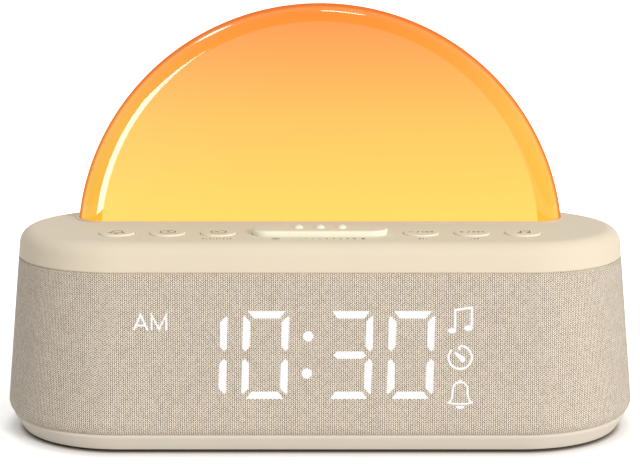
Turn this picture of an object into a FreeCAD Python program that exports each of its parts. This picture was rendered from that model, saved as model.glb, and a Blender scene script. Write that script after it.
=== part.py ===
import FreeCAD, Part
import math
import os

from FreeCAD import Vector

# Sunrise alarm clock: a fabric-wrapped pill-shaped body with a half-round lamp on its top.
# Millimetres. The origin is on the table under the middle of the body. Seen from the
# front, +X is to the right, +Y is to the back and +Z is up.

# Body
body_length = 200.0
body_depth = 77.2
widest_height = 9.5
side_draft = 0.0955
fabric_bottom = 6.4
fabric_top = 55.7
fabric_thickness = 1.0
fabric_curl = 1.5
fabric_gap = 0.12
housing_wall = 2.2
cap_top = 64.5
cap_round = 4.8
cap_wall = 2.2
seam_height = 0.35
seam_depth = 0.45
tongue_length = 2.5
tongue_wall = 1.4
fit = 0.15

# Base
base_bottom = 1.0
base_floor = 2.2
base_undercut = 4.15
base_lip = 1.0
base_wall = 3.0
foot_diameter = 14.0
foot_pocket = 0.6
foot_x = 66.0
foot_y = 20.0

# Case screws and their pillars
pillar_diameter = 7.0
pillar_angle = 55.0
pillar_inset = 9.1
screw_diameter = 3.0
screw_bite = 5.0
screw_head = 5.6
screw_head_height = 2.0
small_screw = 2.0
small_head = 3.6
small_head_height = 1.3

# Keys
key_diameter = 11.0
key_pitch = 15.67
key_first = 31.35
key_y = -15.7
key_names = ("alarm", "clock", "timer", "down", "up", "sound")
key_proud = 0.5
key_round = 0.35
key_gap = 0.2
key_flange = 1.0
key_flange_step = 0.9
key_travel = 0.5
post_margin = 4.15
stem_diameter = 4.0
bar_length = 41.8
bar_depth = 10.6
bar_y = -16.0
bar_proud = 1.85
bar_round = 0.8
bump_pitch = 6.7
bump_count = 3
bump_diameter = 3.0
bump_height = 1.1

# Switches under the keys
switch_size = 6.2
switch_height = 3.5
plunger_diameter = 3.4
plunger_bore = 3.5
plunger_length = 2.5
plunger_proud = 1.0
key_board_top = 52.6
board_thickness = 1.6

# Half-round lamp
dome_back_margin = 13.3
dome_depth = 21.0
dome_radius = 79.2
dome_sink = 9.5
face_radius = 69.8
face_sink = 5.3
dome_wall = 2.2
dome_gap = 0.3
gasket_width = 0.6
gasket_proud = 0.3
gasket_seat = 1.4
dome_flange = 2.2
dome_flange_height = 1.6
frame_thickness = 2.0
frame_bite = 2.4
frame_rim = 7.0
frame_lead = 9.9
frame_screw_lead = 6.9
frame_screw_xs = (-55.0, -20.0, 20.0, 55.0)
side_screw_x = 86.0
side_screw_step = 3.7

# Light panel inside the lamp
reflector_gap = 6.9
reflector_foot_step = 2.95
reflector_screw_xs = (-45.0, 0.0, 45.0)
reflector_thickness = 1.6
reflector_margin = 6.0
light_board_margin = 9.0
led_rows = ((26.0, 7), (42.0, 11), (58.0, 15))
led_width = 3.5
led_height = 2.8
led_thickness = 0.8

# Display
digit_bottom = 17.8
digit_height = 26.5
digit_width = 13.85
digit_slant = 0.03
digit_centres = (-34.95, -16.5, 8.8, 27.35)
stroke = 2.2
level_length = 11.3
level_taper = 1.7
level_shifts = {"top": 0.5, "middle": 0.1, "bottom": -0.2}
middle_length = 9.9
upright_tip = 1.45
upright_shoulder = 3.2
upright_waist = 1.1
dot_diameter = 3.1
dot_places = ((-3.6, 36.7), (-4.0, 25.5))
window_left = -60.0
window_right = 50.0
window_low = 12.5
window_high = 49.0
mask_depth = 5.8
mask_flange = 3.0
mask_flange_thickness = 1.6
pipe_length = 3.2
pipe_fit = 0.05

# Main board
board_top = 15.6
board_x = 50.0
board_front = -22.0
board_back_margin = 7.6
standoff_diameter = 5.0

# Power inlet
port_width = 30.0
port_height = 12.0
socket_width = 8.94
socket_height = 3.26
socket_length = 7.8
socket_wall = 0.3
socket_recess = 1.0
port_round = 2.0

# Speakers
baffle_reach = 21.0
baffle_thickness = 2.0
speaker_diameter = 34.0
speaker_z = 30.5
speaker_depth = 15.0
magnet_diameter = 20.0
slot_width = 2.4
slot_pitch = 5.0
slot_count = 7

# Worked out from the sizes above
half_depth = body_depth / 2
straight_half = (body_length - body_depth) / 2
draft_angle = math.atan(side_draft)
foot_height = base_bottom + foot_pocket
cap_underside = cap_top - cap_wall
pillar_reach = half_depth - pillar_inset
board_back = half_depth - board_back_margin
dome_back = half_depth - dome_back_margin
dome_front = dome_back - dome_depth
dome_mid = dome_front + dome_depth / 2
dome_centre_z = cap_top - dome_sink
face_centre_z = cap_top - face_sink
reflector_y = dome_back - reflector_gap
reflector_foot_y = reflector_y + reflector_foot_step
frame_front = dome_front - frame_lead
frame_screws = [(x, dome_front - frame_screw_lead) for x in frame_screw_xs]
frame_screws += [(side * side_screw_x, dome_front + side_screw_step) for side in (-1, 1)]
skin = fabric_thickness + fabric_gap
key_board_bottom = key_board_top - board_thickness
switch_top = key_board_top + switch_height
plunger_top = switch_top + plunger_proud
base_floor_top = base_bottom + base_floor
board_bottom = board_top - board_thickness
flange_top = cap_underside - key_gap
dome_flange_bottom = cap_underside - dome_gap - dome_flange_height
frame_top = dome_flange_bottom
frame_bottom = frame_top - frame_thickness
port_z = board_top + socket_height / 2
key_places = [side * (key_first + i * key_pitch) for side in (-1, 1) for i in range(3)]
key_places.sort()


# Small helpers

def save(name, *solids):
    """Write one node from one solid, or from a group of separate solids."""
    shape = solids[0] if len(solids) == 1 else Part.makeCompound(list(solids))
    shape.exportStep("parts/" + name + ".step")


def box(x0, x1, y0, y1, z0, z1):
    return Part.makeBox(x1 - x0, y1 - y0, z1 - z0, Vector(x0, y0, z0))


def disc(x, y, z0, z1, diameter):
    return Part.makeCylinder(diameter / 2, z1 - z0, Vector(x, y, z0))


def rod(start, direction, length, diameter):
    return Part.makeCylinder(diameter / 2, length, Vector(*start), Vector(*direction))


def flat_line(a, b):
    return Part.LineSegment(Vector(a[0], 0, a[1]), Vector(b[0], 0, b[1])).toShape()


def flat_arc(a, middle, b):
    points = [Vector(p[0], 0, p[1]) for p in (a, middle, b)]
    return Part.Arc(*points).toShape()


def polygon(points):
    """A closed outline through (r, z) points in the XZ plane."""
    return Part.makePolygon([Vector(r, 0, z) for r, z in points + points[:1]])


def around(outline):
    """Carry an (r, z) outline round the pill-shaped plan of the body."""
    face = Part.Face(outline)
    pieces = []
    for side in (1, -1):
        end = face.copy()
        end.rotate(Vector(0, 0, 0), Vector(0, 0, 1), -90 * side)
        end.translate(Vector(side * straight_half, 0, 0))
        pieces.append(end.revolve(Vector(side * straight_half, 0, 0), Vector(0, 0, 1), 180))
        pieces.append(end.extrude(Vector(-side * 2 * straight_half, 0, 0)))
    return pieces[0].fuse(pieces[1:]).removeSplitter().Solids[0]


def reach(z, inset=0.0):
    """Distance from the body's spine to its drafted side, less an inset square to it."""
    return half_depth - side_draft * (z - widest_height) - inset / math.cos(draft_angle)


def pill(length, depth, x, y, z0, z1):
    """A flat bar with fully round ends."""
    radius = depth / 2
    half = length / 2 - radius
    bar = box(x - half, x + half, y - radius, y + radius, z0, z1)
    ends = [disc(x + side * half, y, z0, z1, depth) for side in (-1, 1)]
    return bar.fuse(ends).removeSplitter()


def round_top(solid, z, radius):
    """Round the edges that lie in the plane at height z."""
    edges = [e for e in solid.Edges if abs(e.BoundBox.ZMin - z) < 0.001 and abs(e.BoundBox.ZMax - z) < 0.001]
    return solid.makeFillet(radius, edges)


def screw(x, y, z_head, length, diameter, head, head_height):
    """A pan-head screw that points up, its head below z_head."""
    shank = disc(x, y, z_head, z_head + length, diameter)
    top = disc(x, y, z_head - head_height, z_head, head)
    drive = box(x - head / 3, x + head / 3, y - 0.3, y + 0.3, z_head - head_height, z_head - head_height / 2)
    return top.fuse(shank).cut(drive)


def pillar_places():
    angle = math.radians(pillar_angle)
    x = straight_half + pillar_reach * math.cos(angle)
    y = pillar_reach * math.sin(angle)
    return [(sx * x, sy * y) for sx in (-1, 1) for sy in (-1, 1)]


def front_slab(near, far):
    """The space between two planes parallel to the drafted front, at depths near and far."""
    low = 0.0
    high = cap_top
    corners = [(-reach(low, near), low), (-reach(high, near), high),
               (-reach(high, far), high), (-reach(low, far), low)]
    wire = Part.makePolygon([Vector(-body_length / 2, y, z) for y, z in corners + corners[:1]])
    return Part.Face(wire).extrude(Vector(body_length, 0, 0))


def front_prism(points, near, far):
    """A prism through (x, z) points, cut to lie between two depths behind the front."""
    wire = Part.makePolygon([Vector(x, -body_depth, z) for x, z in points + points[:1]])
    return Part.Face(wire).extrude(Vector(0, body_depth, 0)).common(front_slab(near, far)).Solids[0]


def front_block(x0, x1, z0, z1, near, far):
    return front_prism([(x0, z0), (x1, z0), (x1, z1), (x0, z1)], near, far)


def front_rod(x, z, diameter, near, far):
    bar = rod((x, -body_depth, z), (0, 1, 0), body_depth, diameter)
    return bar.common(front_slab(near, far)).Solids[0]


# Case

def fabric_sleeve():
    bottom = reach(widest_height) - fabric_curl
    curl = (reach(widest_height) - fabric_curl * 0.3, (fabric_bottom + widest_height) / 2)
    inner = fabric_thickness
    edges = [
        flat_arc((bottom, fabric_bottom), curl, (reach(widest_height), widest_height)),
        flat_line((reach(widest_height), widest_height), (reach(fabric_top), fabric_top)),
        flat_line((reach(fabric_top), fabric_top), (reach(fabric_top, inner), fabric_top)),
        flat_line((reach(fabric_top, inner), fabric_top), (reach(widest_height, inner), widest_height)),
        flat_arc((reach(widest_height, inner), widest_height), (curl[0] - inner, curl[1]),
                 (bottom - inner, fabric_bottom)),
        flat_line((bottom - inner, fabric_bottom), (bottom, fabric_bottom)),
    ]
    return around(Part.Wire(edges)).cut(port_block(0.0, skin + housing_wall, 0.0))


def housing():
    low = reach(widest_height) - fabric_curl - skin
    outer = [(low, fabric_bottom), (reach(widest_height, skin), widest_height),
             (reach(fabric_top, skin), fabric_top)]
    wall = skin + housing_wall
    inner = [(reach(fabric_top, wall), fabric_top), (reach(widest_height, wall), widest_height),
             (low - housing_wall, fabric_bottom)]
    shell = around(polygon(outer + inner))
    room = around(polygon([(0, fabric_bottom), (low - 1, fabric_bottom),
                           (reach(widest_height, skin + 1), widest_height),
                           (reach(fabric_top, skin + 1), fabric_top), (0, fabric_top)]))
    pillar_top = fabric_top - tongue_length - fit
    for x, y in pillar_places():
        pillar = disc(x, y, fabric_bottom, fabric_top, pillar_diameter)
        shell = shell.fuse(pillar.common(room))
    for side in (-1, 1):
        face = straight_half + baffle_reach
        ends = sorted((side * face, side * (face + baffle_thickness)))
        baffle = box(ends[0], ends[1], -half_depth, half_depth, fabric_bottom, pillar_top)
        shell = shell.fuse(baffle.common(room))
    shell = shell.removeSplitter()
    for x, y in pillar_places():
        shell = shell.cut(disc(x, y, fabric_bottom, fabric_top, screw_diameter + 2 * fit))
    tongue_room = around(polygon([(0, pillar_top), (reach(pillar_top, wall), pillar_top),
                                  (reach(fabric_top, wall), fabric_top), (0, fabric_top)]))
    shell = shell.cut(tongue_room)
    for side in (-1, 1):
        shell = shell.cut(rod((side * (straight_half + baffle_reach - 1), 0, speaker_z), (side, 0, 0),
                              baffle_thickness + 2, speaker_diameter - 4))
        for i in range(slot_count):
            y = (i - (slot_count - 1) / 2) * slot_pitch
            half_height = math.sqrt((speaker_diameter / 2) ** 2 - y ** 2)
            start = straight_half + baffle_reach + baffle_thickness + 1
            ends = sorted((side * start, side * (body_length / 2 + 1)))
            shell = shell.cut(box(ends[0], ends[1], y - slot_width / 2, y + slot_width / 2,
                                  speaker_z - half_height, speaker_z + half_height))
    shell = shell.cut(front_block(window_left, window_right, window_low, window_high, 0, wall + 1))
    shell = shell.cut(port_block(0.0, wall + 1, 0.0))
    for x, z in display_screw_places():
        shell = shell.cut(front_rod(x, z, small_screw, skin + 0.5, wall + 1))
    for x, y, z in speaker_screw_places():
        shell = shell.cut(rod((x, y, z), (math.copysign(1, x), 0, 0), baffle_thickness + 0.5, small_screw))
    return shell.Solids[0]


def top_cap():
    slope = (math.cos(draft_angle), math.sin(draft_angle))
    centre = (reach(cap_top - cap_round, cap_round), cap_top - cap_round)

    def on_round(radius, angle):
        return (centre[0] + radius * math.cos(angle), centre[1] + radius * math.sin(angle))

    half_angle = (draft_angle + math.pi / 2) / 2
    inner_round = cap_round - cap_wall
    tongue_out = skin + housing_wall + fit
    tongue_in = tongue_out + tongue_wall
    rib_top = fabric_top + tongue_length
    tongue_end = fabric_top - tongue_length
    seam_top = fabric_top + seam_height
    side_top = (centre[0] + cap_round * slope[0], centre[1] + cap_round * slope[1])
    inner_top = (centre[0] + inner_round * slope[0], centre[1] + inner_round * slope[1])
    corners = [(0, cap_underside), (0, cap_top), (centre[0], cap_top)]
    lower = [side_top, (reach(seam_top), seam_top), (reach(seam_top, seam_depth), seam_top),
             (reach(fabric_top, seam_depth), fabric_top), (reach(fabric_top, tongue_out), fabric_top),
             (reach(tongue_end, tongue_out), tongue_end), (reach(tongue_end, tongue_in), tongue_end),
             (reach(rib_top, tongue_in), rib_top), (reach(rib_top, cap_wall), rib_top), inner_top]
    edges = [flat_line(a, b) for a, b in zip(corners, corners[1:])]
    edges.append(flat_arc(corners[-1], on_round(cap_round, half_angle), side_top))
    edges += [flat_line(a, b) for a, b in zip(lower, lower[1:])]
    edges.append(flat_arc(inner_top, on_round(inner_round, half_angle), (centre[0], cap_underside)))
    edges.append(flat_line((centre[0], cap_underside), corners[0]))
    cap = around(Part.Wire(edges))
    lid = around(polygon([(0, fabric_top), (reach(fabric_top, tongue_out), fabric_top),
                          (centre[0], cap_underside + 0.5), (0, cap_underside + 0.5)]))
    for x, y in pillar_places():
        boss = disc(x, y, fabric_top, cap_underside + 0.5, pillar_diameter)
        cap = cap.fuse(boss.common(lid))
    for x, y in frame_screws:
        cap = cap.fuse(disc(x, y, frame_top, cap_underside + 0.5, standoff_diameter))
    for x, y in key_board_posts():
        cap = cap.fuse(disc(x, y, key_board_top, cap_underside + 0.5, standoff_diameter))
    cap = cap.removeSplitter()
    for x, y in pillar_places():
        cap = cap.cut(disc(x, y, fabric_top, fabric_top + screw_bite + 0.5, screw_diameter))
        lower_bore = disc(x, y, fabric_top - tongue_length - 1, fabric_top, pillar_diameter + 2 * fit)
        cap = cap.cut(lower_bore)
    for x, y in frame_screws:
        cap = cap.cut(disc(x, y, frame_top, frame_top + frame_bite + 0.2, small_screw))
    for x, y in key_board_posts():
        cap = cap.cut(disc(x, y, key_board_top, key_board_top + 6, small_screw))
    for x in key_places:
        cap = cap.cut(disc(x, key_y, cap_underside - 1, cap_top + 1, key_diameter + 2 * key_gap))
    cap = cap.cut(pill(bar_length + 2 * key_gap, bar_depth + 2 * key_gap, 0, bar_y, cap_underside - 1, cap_top + 1))
    cap = cap.cut(dome_slice(dome_gap, dome_flange_bottom - dome_gap, cap_top + 1))
    cap = cap.cut(dome_slice(dome_gap + gasket_width, cap_top - gasket_seat, cap_top + 1))
    return cap.Solids[0]


def base_cover():
    edge = reach(widest_height) - fabric_curl
    low = half_depth - base_undercut
    shoulder = fabric_bottom - base_lip
    lip_middle = (edge - base_lip * (1 - math.sqrt(0.5)), shoulder + base_lip * math.sqrt(0.5))
    edges = [
        flat_line((0, base_bottom), (low, base_bottom)),
        flat_line((low, base_bottom), (edge, shoulder)),
        flat_arc((edge, shoulder), lip_middle, (edge - base_lip, fabric_bottom)),
        flat_line((edge - base_lip, fabric_bottom), (edge - base_lip - base_wall, fabric_bottom)),
        flat_line((edge - base_lip - base_wall, fabric_bottom), (edge - base_lip - base_wall, base_floor_top)),
        flat_line((edge - base_lip - base_wall, base_floor_top), (0, base_floor_top)),
        flat_line((0, base_floor_top), (0, base_bottom)),
    ]
    base = around(Part.Wire(edges))
    for x, y in pillar_places():
        base = base.fuse(disc(x, y, base_floor_top - 0.5, fabric_bottom, pillar_diameter + 2))
    for x, y in board_posts():
        base = base.fuse(disc(x, y, base_floor_top - 0.5, board_bottom, standoff_diameter))
    base = base.removeSplitter()
    for x, y in pillar_places():
        base = base.cut(disc(x, y, base_bottom, case_screw_seat(), screw_head + 2 * fit))
        base = base.cut(disc(x, y, base_bottom, fabric_bottom, screw_diameter + 2 * fit))
    for x, y in board_posts():
        base = base.cut(disc(x, y, board_bottom - 6, board_bottom, small_screw))
    for x, y in foot_places():
        base = base.cut(disc(x, y, base_bottom, base_bottom + foot_pocket, foot_diameter + 2 * fit))
    return base.Solids[0]


def case_screw_seat():
    return base_bottom + screw_head_height + 0.6


def foot_places():
    return [(sx * foot_x, sy * foot_y) for sx in (-1, 1) for sy in (-1, 1)]


def feet():
    pads = [disc(x, y, 0, foot_height, foot_diameter) for x, y in foot_places()]
    return [round_top(pad, 0, 0.4) for pad in pads]


def case_screws():
    seat = case_screw_seat()
    length = fabric_top + screw_bite - seat
    return [screw(x, y, seat, length, screw_diameter, screw_head, screw_head_height) for x, y in pillar_places()]


# Keys, switches and key board

def key_cap(x):
    top = cap_top + key_proud
    button = round_top(disc(x, key_y, flange_top - key_flange, top, key_diameter), top, key_round)
    flange = disc(x, key_y, flange_top - key_flange, flange_top, key_diameter + 2 * key_flange_step)
    stem = disc(x, key_y, plunger_top, flange_top - key_flange, stem_diameter)
    return button.fuse([flange, stem]).removeSplitter()


def snooze_bar():
    top = cap_top + bar_proud
    bar = pill(bar_length, bar_depth, 0, bar_y, flange_top - key_flange, top)
    bar = round_top(bar, top, bar_round)
    step = 2 * key_flange_step
    flange = pill(bar_length + step, bar_depth + step, 0, bar_y, flange_top - key_flange, flange_top)
    stem = disc(0, bar_y, plunger_top, flange_top - key_flange, stem_diameter)
    bar = bar.fuse([flange, stem])
    ball = (bump_diameter ** 2 / 4 + bump_height ** 2) / (2 * bump_height)
    for i in range(bump_count):
        x = (i - (bump_count - 1) / 2) * bump_pitch
        centre = Vector(x, bar_y, top + bump_height - ball)
        lens = Part.makeSphere(ball, centre).common(disc(x, bar_y, top - 0.3, top + bump_height + 1, bump_diameter))
        bar = bar.fuse(lens)
    return bar.removeSplitter()


def switch_places():
    return [(x, key_y) for x in key_places] + [(0.0, bar_y)]


def switches():
    bodies = []
    half = switch_size / 2
    for x, y in switch_places():
        body = box(x - half, x + half, y - half, y + half, key_board_top, switch_top)
        well_bottom = plunger_top - plunger_length - 2 * key_travel
        bodies.append(body.cut(disc(x, y, well_bottom, switch_top, plunger_bore)))
    return bodies


def plunger(x, y):
    return disc(x, y, plunger_top - plunger_length, plunger_top, plunger_diameter)


def key_board_posts():
    outer = key_places[-1] + key_diameter / 2 + post_margin
    inner = key_first + key_pitch / 2
    return [(-outer, key_y), (-inner, key_y + 7.1), (inner, key_y + 7.1), (outer, key_y)]


def key_board():
    half = key_board_posts()[-1][0] + 2.6
    board = box(-half, half, key_y - 6, key_y + 10.5, key_board_bottom, key_board_top)
    for x, y in key_board_posts():
        board = board.cut(disc(x, y, key_board_bottom, key_board_top, small_screw + 0.4))
    for x, y in frame_screws:
        board = board.cut(disc(x, y, key_board_bottom, key_board_top, small_head + 1))
    return board


def key_board_screws():
    return [screw(x, y, key_board_bottom, board_thickness + 5, small_screw, small_head, small_head_height)
            for x, y in key_board_posts()]


# Lamp

def dome_solid(grow):
    """The lamp's full round form, its skin moved out by grow: a flat face whose rim rolls
    to a larger circle at mid depth, set lower, so the rim is wider at the sides than on top."""
    sections = []
    steps = 6
    half = dome_depth / 2 + grow
    for i in range(-steps, steps + 1):
        angle = math.pi / 2 * i / steps
        roll = math.cos(angle)
        radius = face_radius + (dome_radius - face_radius) * roll + grow * max(roll, 0.35)
        centre = face_centre_z + (dome_centre_z - face_centre_z) * roll
        circle = Part.Circle(Vector(0, dome_mid + half * math.sin(angle), centre), Vector(0, 1, 0), radius)
        sections.append(Part.Wire(circle.toShape()))
    return Part.makeLoft(sections, True)


def dome_slice(grow, z0, z1):
    wide = dome_radius + dome_flange + 5
    return dome_solid(grow).common(box(-wide, wide, dome_front - 10, dome_back + 10, z0, z1))


def dome_shade():
    top = dome_centre_z + dome_radius + 1
    shade = dome_slice(0, dome_flange_bottom, top)
    flange = dome_slice(dome_flange, dome_flange_bottom, cap_underside - dome_gap)
    for x, y in pillar_places():
        flange = flange.cut(disc(x, y, dome_flange_bottom, cap_underside, pillar_diameter + 1))
    shade = shade.fuse(flange)
    return shade.cut(dome_slice(-dome_wall, dome_flange_bottom, top)).Solids[0]


def dome_gasket():
    low = cap_top - gasket_seat
    high = cap_top + gasket_proud
    ring = dome_slice(dome_gap + gasket_width - 0.05, low, high)
    return ring.cut(dome_slice(0.05, low, high)).Solids[0]


def lamp_frame():
    plate = around(polygon([(0, frame_bottom), (pillar_reach + 0.3, frame_bottom),
                            (pillar_reach + 0.3, frame_top), (0, frame_top)]))
    plate = plate.cut(box(-body_length, body_length, -body_depth, frame_front, frame_bottom, frame_top))
    plate = plate.cut(dome_slice(-frame_rim, frame_bottom, frame_top))
    for x, y in pillar_places():
        plate = plate.cut(disc(x, y, frame_bottom, frame_top, pillar_diameter + 1))
    for x, y in key_board_posts():
        plate = plate.cut(disc(x, y, frame_bottom, frame_top, standoff_diameter + 1))
    for x, y in frame_screws:
        plate = plate.cut(disc(x, y, frame_bottom, frame_top, small_screw + 0.4))
    for x in reflector_screw_xs:
        plate = plate.cut(disc(x, reflector_foot_y, frame_bottom, frame_top, small_screw + 0.4))
    return plate.Solids[0]


def frame_fixings():
    length = frame_thickness + frame_bite
    return [screw(x, y, frame_bottom, length, small_screw, small_head, small_head_height) for x, y in frame_screws]


def half_disc(radius, y0, thickness):
    full = Part.makeCylinder(radius, thickness, Vector(0, y0, face_centre_z), Vector(0, 1, 0))
    return full.common(box(-radius, radius, y0 - 1, y0 + thickness + 1, frame_top, face_centre_z + radius + 1))


def light_reflector():
    plate = half_disc(face_radius - reflector_margin, reflector_y, reflector_thickness)
    half = face_radius - reflector_margin - 4
    foot = box(-half, half, reflector_y, dome_back - dome_wall - 0.4, frame_top, frame_top + 1.6)
    plate = plate.fuse(foot).removeSplitter()
    for x in reflector_screw_xs:
        plate = plate.cut(disc(x, reflector_foot_y, frame_top, frame_top + 1.6, small_screw))
    return plate


def reflector_screws():
    return [screw(x, reflector_foot_y, frame_bottom, frame_thickness + 1.5, small_screw, small_head,
                  small_head_height) for x in reflector_screw_xs]


def light_board():
    return half_disc(face_radius - light_board_margin, reflector_y - board_thickness, board_thickness)


def light_leds():
    chips = []
    back = reflector_y - board_thickness
    for radius, count in led_rows:
        for i in range(count):
            angle = math.pi * (i + 0.5) / count
            x = radius * math.cos(angle)
            z = cap_top + 1 + radius * math.sin(angle) * 0.96
            chips.append(box(x - led_width / 2, x + led_width / 2, back - led_thickness, back,
                             z - led_height / 2, z + led_height / 2))
    return chips


# Display

def leaned(x, z):
    """A point of an upright digit, leaned with the digits about their mid height."""
    return (x + digit_slant * (z - digit_bottom - digit_height / 2), z)


def level_stroke(centre, name):
    """A level stroke: the top and bottom ones taper inwards, the middle one ends in points."""
    x = centre + level_shifts[name]
    half = level_length / 2
    low = digit_bottom
    high = digit_bottom + digit_height
    if name == "top":
        return [(x - half, high), (x + half, high), (x + half - level_taper, high - stroke),
                (x - half + level_taper, high - stroke)]
    if name == "bottom":
        return [(x - half, low), (x - half + level_taper, low + stroke), (x + half - level_taper, low + stroke),
                (x + half, low)]
    half = middle_length / 2
    z = (low + high) / 2
    point = stroke / 2
    return [(x - half, z), (x - half + point, z + point), (x + half - point, z + point), (x + half, z),
            (x + half - point, z - point), (x - half + point, z - point)]


def upright_stroke(centre, row, side):
    """An upright stroke: a slanted outer end and a blunt point at the digit's waist."""
    middle = digit_bottom + digit_height / 2
    top = digit_height / 2
    across = [0, 0.2 * stroke, stroke, stroke, 0.38 * stroke, 0]
    along = [top - upright_tip - 0.3, top - upright_tip, top - upright_shoulder,
             upright_waist + 0.7 * stroke, upright_waist, upright_waist + 0.4 * stroke]
    edge = centre + side * digit_width / 2
    return [leaned(edge - side * a, middle + row * b) for a, b in zip(across, along)]


def digit(centre, levels, uprights):
    return [level_stroke(centre, name) for name in levels] + [upright_stroke(centre, *place) for place in uprights]


def display_outlines():
    """The lit strokes of the time 10:30."""
    right = ((1, 1), (-1, 1))
    ring = right + ((1, -1), (-1, -1))
    one, zero, three, last = digit_centres
    return (digit(one, (), right) + digit(zero, ("top", "bottom"), ring)
            + digit(three, ("top", "middle", "bottom"), right) + digit(last, ("top", "bottom"), ring))


def display_pipes():
    near = skin + fit
    pipes = [front_prism(points, near, near + pipe_length) for points in display_outlines()]
    pipes += [front_rod(x, z, dot_diameter, near, near + pipe_length) for x, z in dot_places]
    return pipes


def display_mask():
    near = skin + fit
    far = near + mask_depth
    block = front_block(window_left + fit, window_right - fit, window_low + fit, window_high - fit, near, far)
    lip = skin + housing_wall + fit
    flange = front_block(window_left - mask_flange, window_right + mask_flange, window_low - mask_flange,
                         window_high + mask_flange, lip, lip + mask_flange_thickness)
    mask = block.fuse(flange).removeSplitter()
    for points in display_outlines():
        wire = Part.makePolygon([Vector(x, -body_depth, z) for x, z in points + points[:1]])
        wire = wire.makeOffset2D(pipe_fit, 2)
        mask = mask.cut(Part.Face(wire).extrude(Vector(0, body_depth, 0)))
    for x, z in dot_places:
        mask = mask.cut(rod((x, -body_depth, z), (0, 1, 0), body_depth, dot_diameter + 2 * pipe_fit))
    for x, z in display_screw_places():
        mask = mask.cut(rod((x, -body_depth, z), (0, 1, 0), body_depth, small_screw + 0.4))
    return mask.Solids[0]


def display_screw_places():
    dx = mask_flange / 2
    return [(x, z) for x in (window_left - dx, window_right + dx) for z in (window_low - dx, window_high + dx)]


def display_board():
    near = skin + fit + mask_depth
    board = front_block(window_left, window_right, window_low, window_high, near, near + board_thickness)
    return board


def display_leds():
    far = skin + fit + mask_depth
    chips = []
    for points in display_outlines():
        x = sum(p[0] for p in points) / len(points)
        z = sum(p[1] for p in points) / len(points)
        chips.append(front_block(x - 0.6, x + 0.6, z - 0.8, z + 0.8, far - led_thickness, far))
    for x, z in dot_places:
        chips.append(front_block(x - 0.6, x + 0.6, z - 0.8, z + 0.8, far - led_thickness, far))
    return chips


def display_screws():
    bite = skin + 0.6
    lip = skin + housing_wall + fit + mask_flange_thickness
    fixings = []
    for x, z in display_screw_places():
        shank = front_rod(x, z, small_screw, bite, lip)
        head = front_rod(x, z, small_head, lip, lip + small_head_height)
        fixings.append(shank.fuse(head))
    return fixings


# Main board and power inlet

def board_posts():
    x = board_x - 4
    return [(sx * x, y) for sx in (-1, 1) for y in (board_front + 4, board_back - 8)]


def main_board():
    board = box(-board_x, board_x, board_front, board_back, board_bottom, board_top)
    for x, y in board_posts():
        board = board.cut(disc(x, y, board_bottom, board_top, small_screw + 0.4))
    return board


def main_board_screws():
    fixings = []
    for x, y in board_posts():
        shank = disc(x, y, board_bottom - 5, board_top, small_screw)
        head = disc(x, y, board_top, board_top + small_head_height, small_head)
        slot = box(x - 1.2, x + 1.2, y - 0.3, y + 0.3, board_top + small_head_height / 2, board_top + 2)
        fixings.append(shank.fuse(head).cut(slot))
    return fixings


def board_chips():
    places = ((-12, -6, 10, 10, 1.2), (14, 4, 7, 7, 1.0), (32, -8, 5, 6, 1.5), (-28, -12, 5, 4, 1.5), (20, 20, 4, 4, 1.0))
    return [box(x - w / 2, x + w / 2, y - d / 2, y + d / 2, board_top, board_top + h) for x, y, w, d, h in places]


def board_capacitors():
    places = ((36, 10, 6.3, 7), (28, 10, 6.3, 7), (38, 1, 5, 6))
    return [round_top(disc(x, y, board_top, board_top + h, d), board_top + h, 0.4) for x, y, d, h in places]


def cell_places():
    return -33.0, 8.0, 20.0, 3.2


def cell_holder():
    x, y, diameter, thickness = cell_places()
    outer = diameter + 3
    body = disc(x, y, board_top, board_top + thickness + 1.6, outer)
    well = disc(x, y, board_top + 0.8, board_top + thickness + 2, diameter + 2 * fit)
    notch = box(x - 5, x + 5, y - outer, y, board_top + 0.8, board_top + thickness + 2)
    return body.cut(well).cut(notch).Solids[0]


def coin_cell():
    x, y, diameter, thickness = cell_places()
    low = board_top + 0.8
    can = disc(x, y, low, low + thickness, diameter)
    return round_top(can, low + thickness, 0.4)


def socket_mouth_y():
    return reach(port_z) - socket_recess


def rounded_block(width, height, y0, y1, radius):
    block = box(-width / 2, width / 2, y0, y1, port_z - height / 2, port_z + height / 2)
    edges = [e for e in block.Edges if abs(e.BoundBox.YLength - (y1 - y0)) < 0.001]
    return block.makeFillet(radius, edges)


def usb_socket():
    y1 = socket_mouth_y()
    y0 = y1 - socket_length
    radius = socket_height / 2 - 0.01
    shell = rounded_block(socket_width, socket_height, y0, y1, radius)
    hollow = rounded_block(socket_width - 2 * socket_wall, socket_height - 2 * socket_wall, y0 + 1, y1 + 1,
                           radius - socket_wall)
    return shell.cut(hollow)


def usb_tongue():
    y1 = socket_mouth_y() - 0.8
    return box(-3.2, 3.2, y1 - socket_length + 1.8, y1, port_z - 0.35, port_z + 0.35)


def port_block(near, far, margin):
    """The space of the inlet panel in the back wall, grown by a margin."""
    block = rounded_block(port_width + 2 * margin, port_height + 2 * margin, 0, body_depth, port_round)
    slab = front_slab(near, far)
    slab.rotate(Vector(0, 0, 0), Vector(0, 0, 1), 180)
    return block.common(slab)


def port_panel():
    face = port_block(0.1, skin + housing_wall, -fit)
    lip = skin + housing_wall + fit
    flange = port_block(skin + housing_wall, lip + 1.4, -fit).fuse(port_block(lip, lip + 1.4, 2.0))
    panel = face.fuse(flange).removeSplitter()
    hole = rounded_block(socket_width + 2 * fit, socket_height + 2 * fit, 0, body_depth, socket_height / 2)
    return panel.cut(hole).Solids[0]


# Speakers

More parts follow.
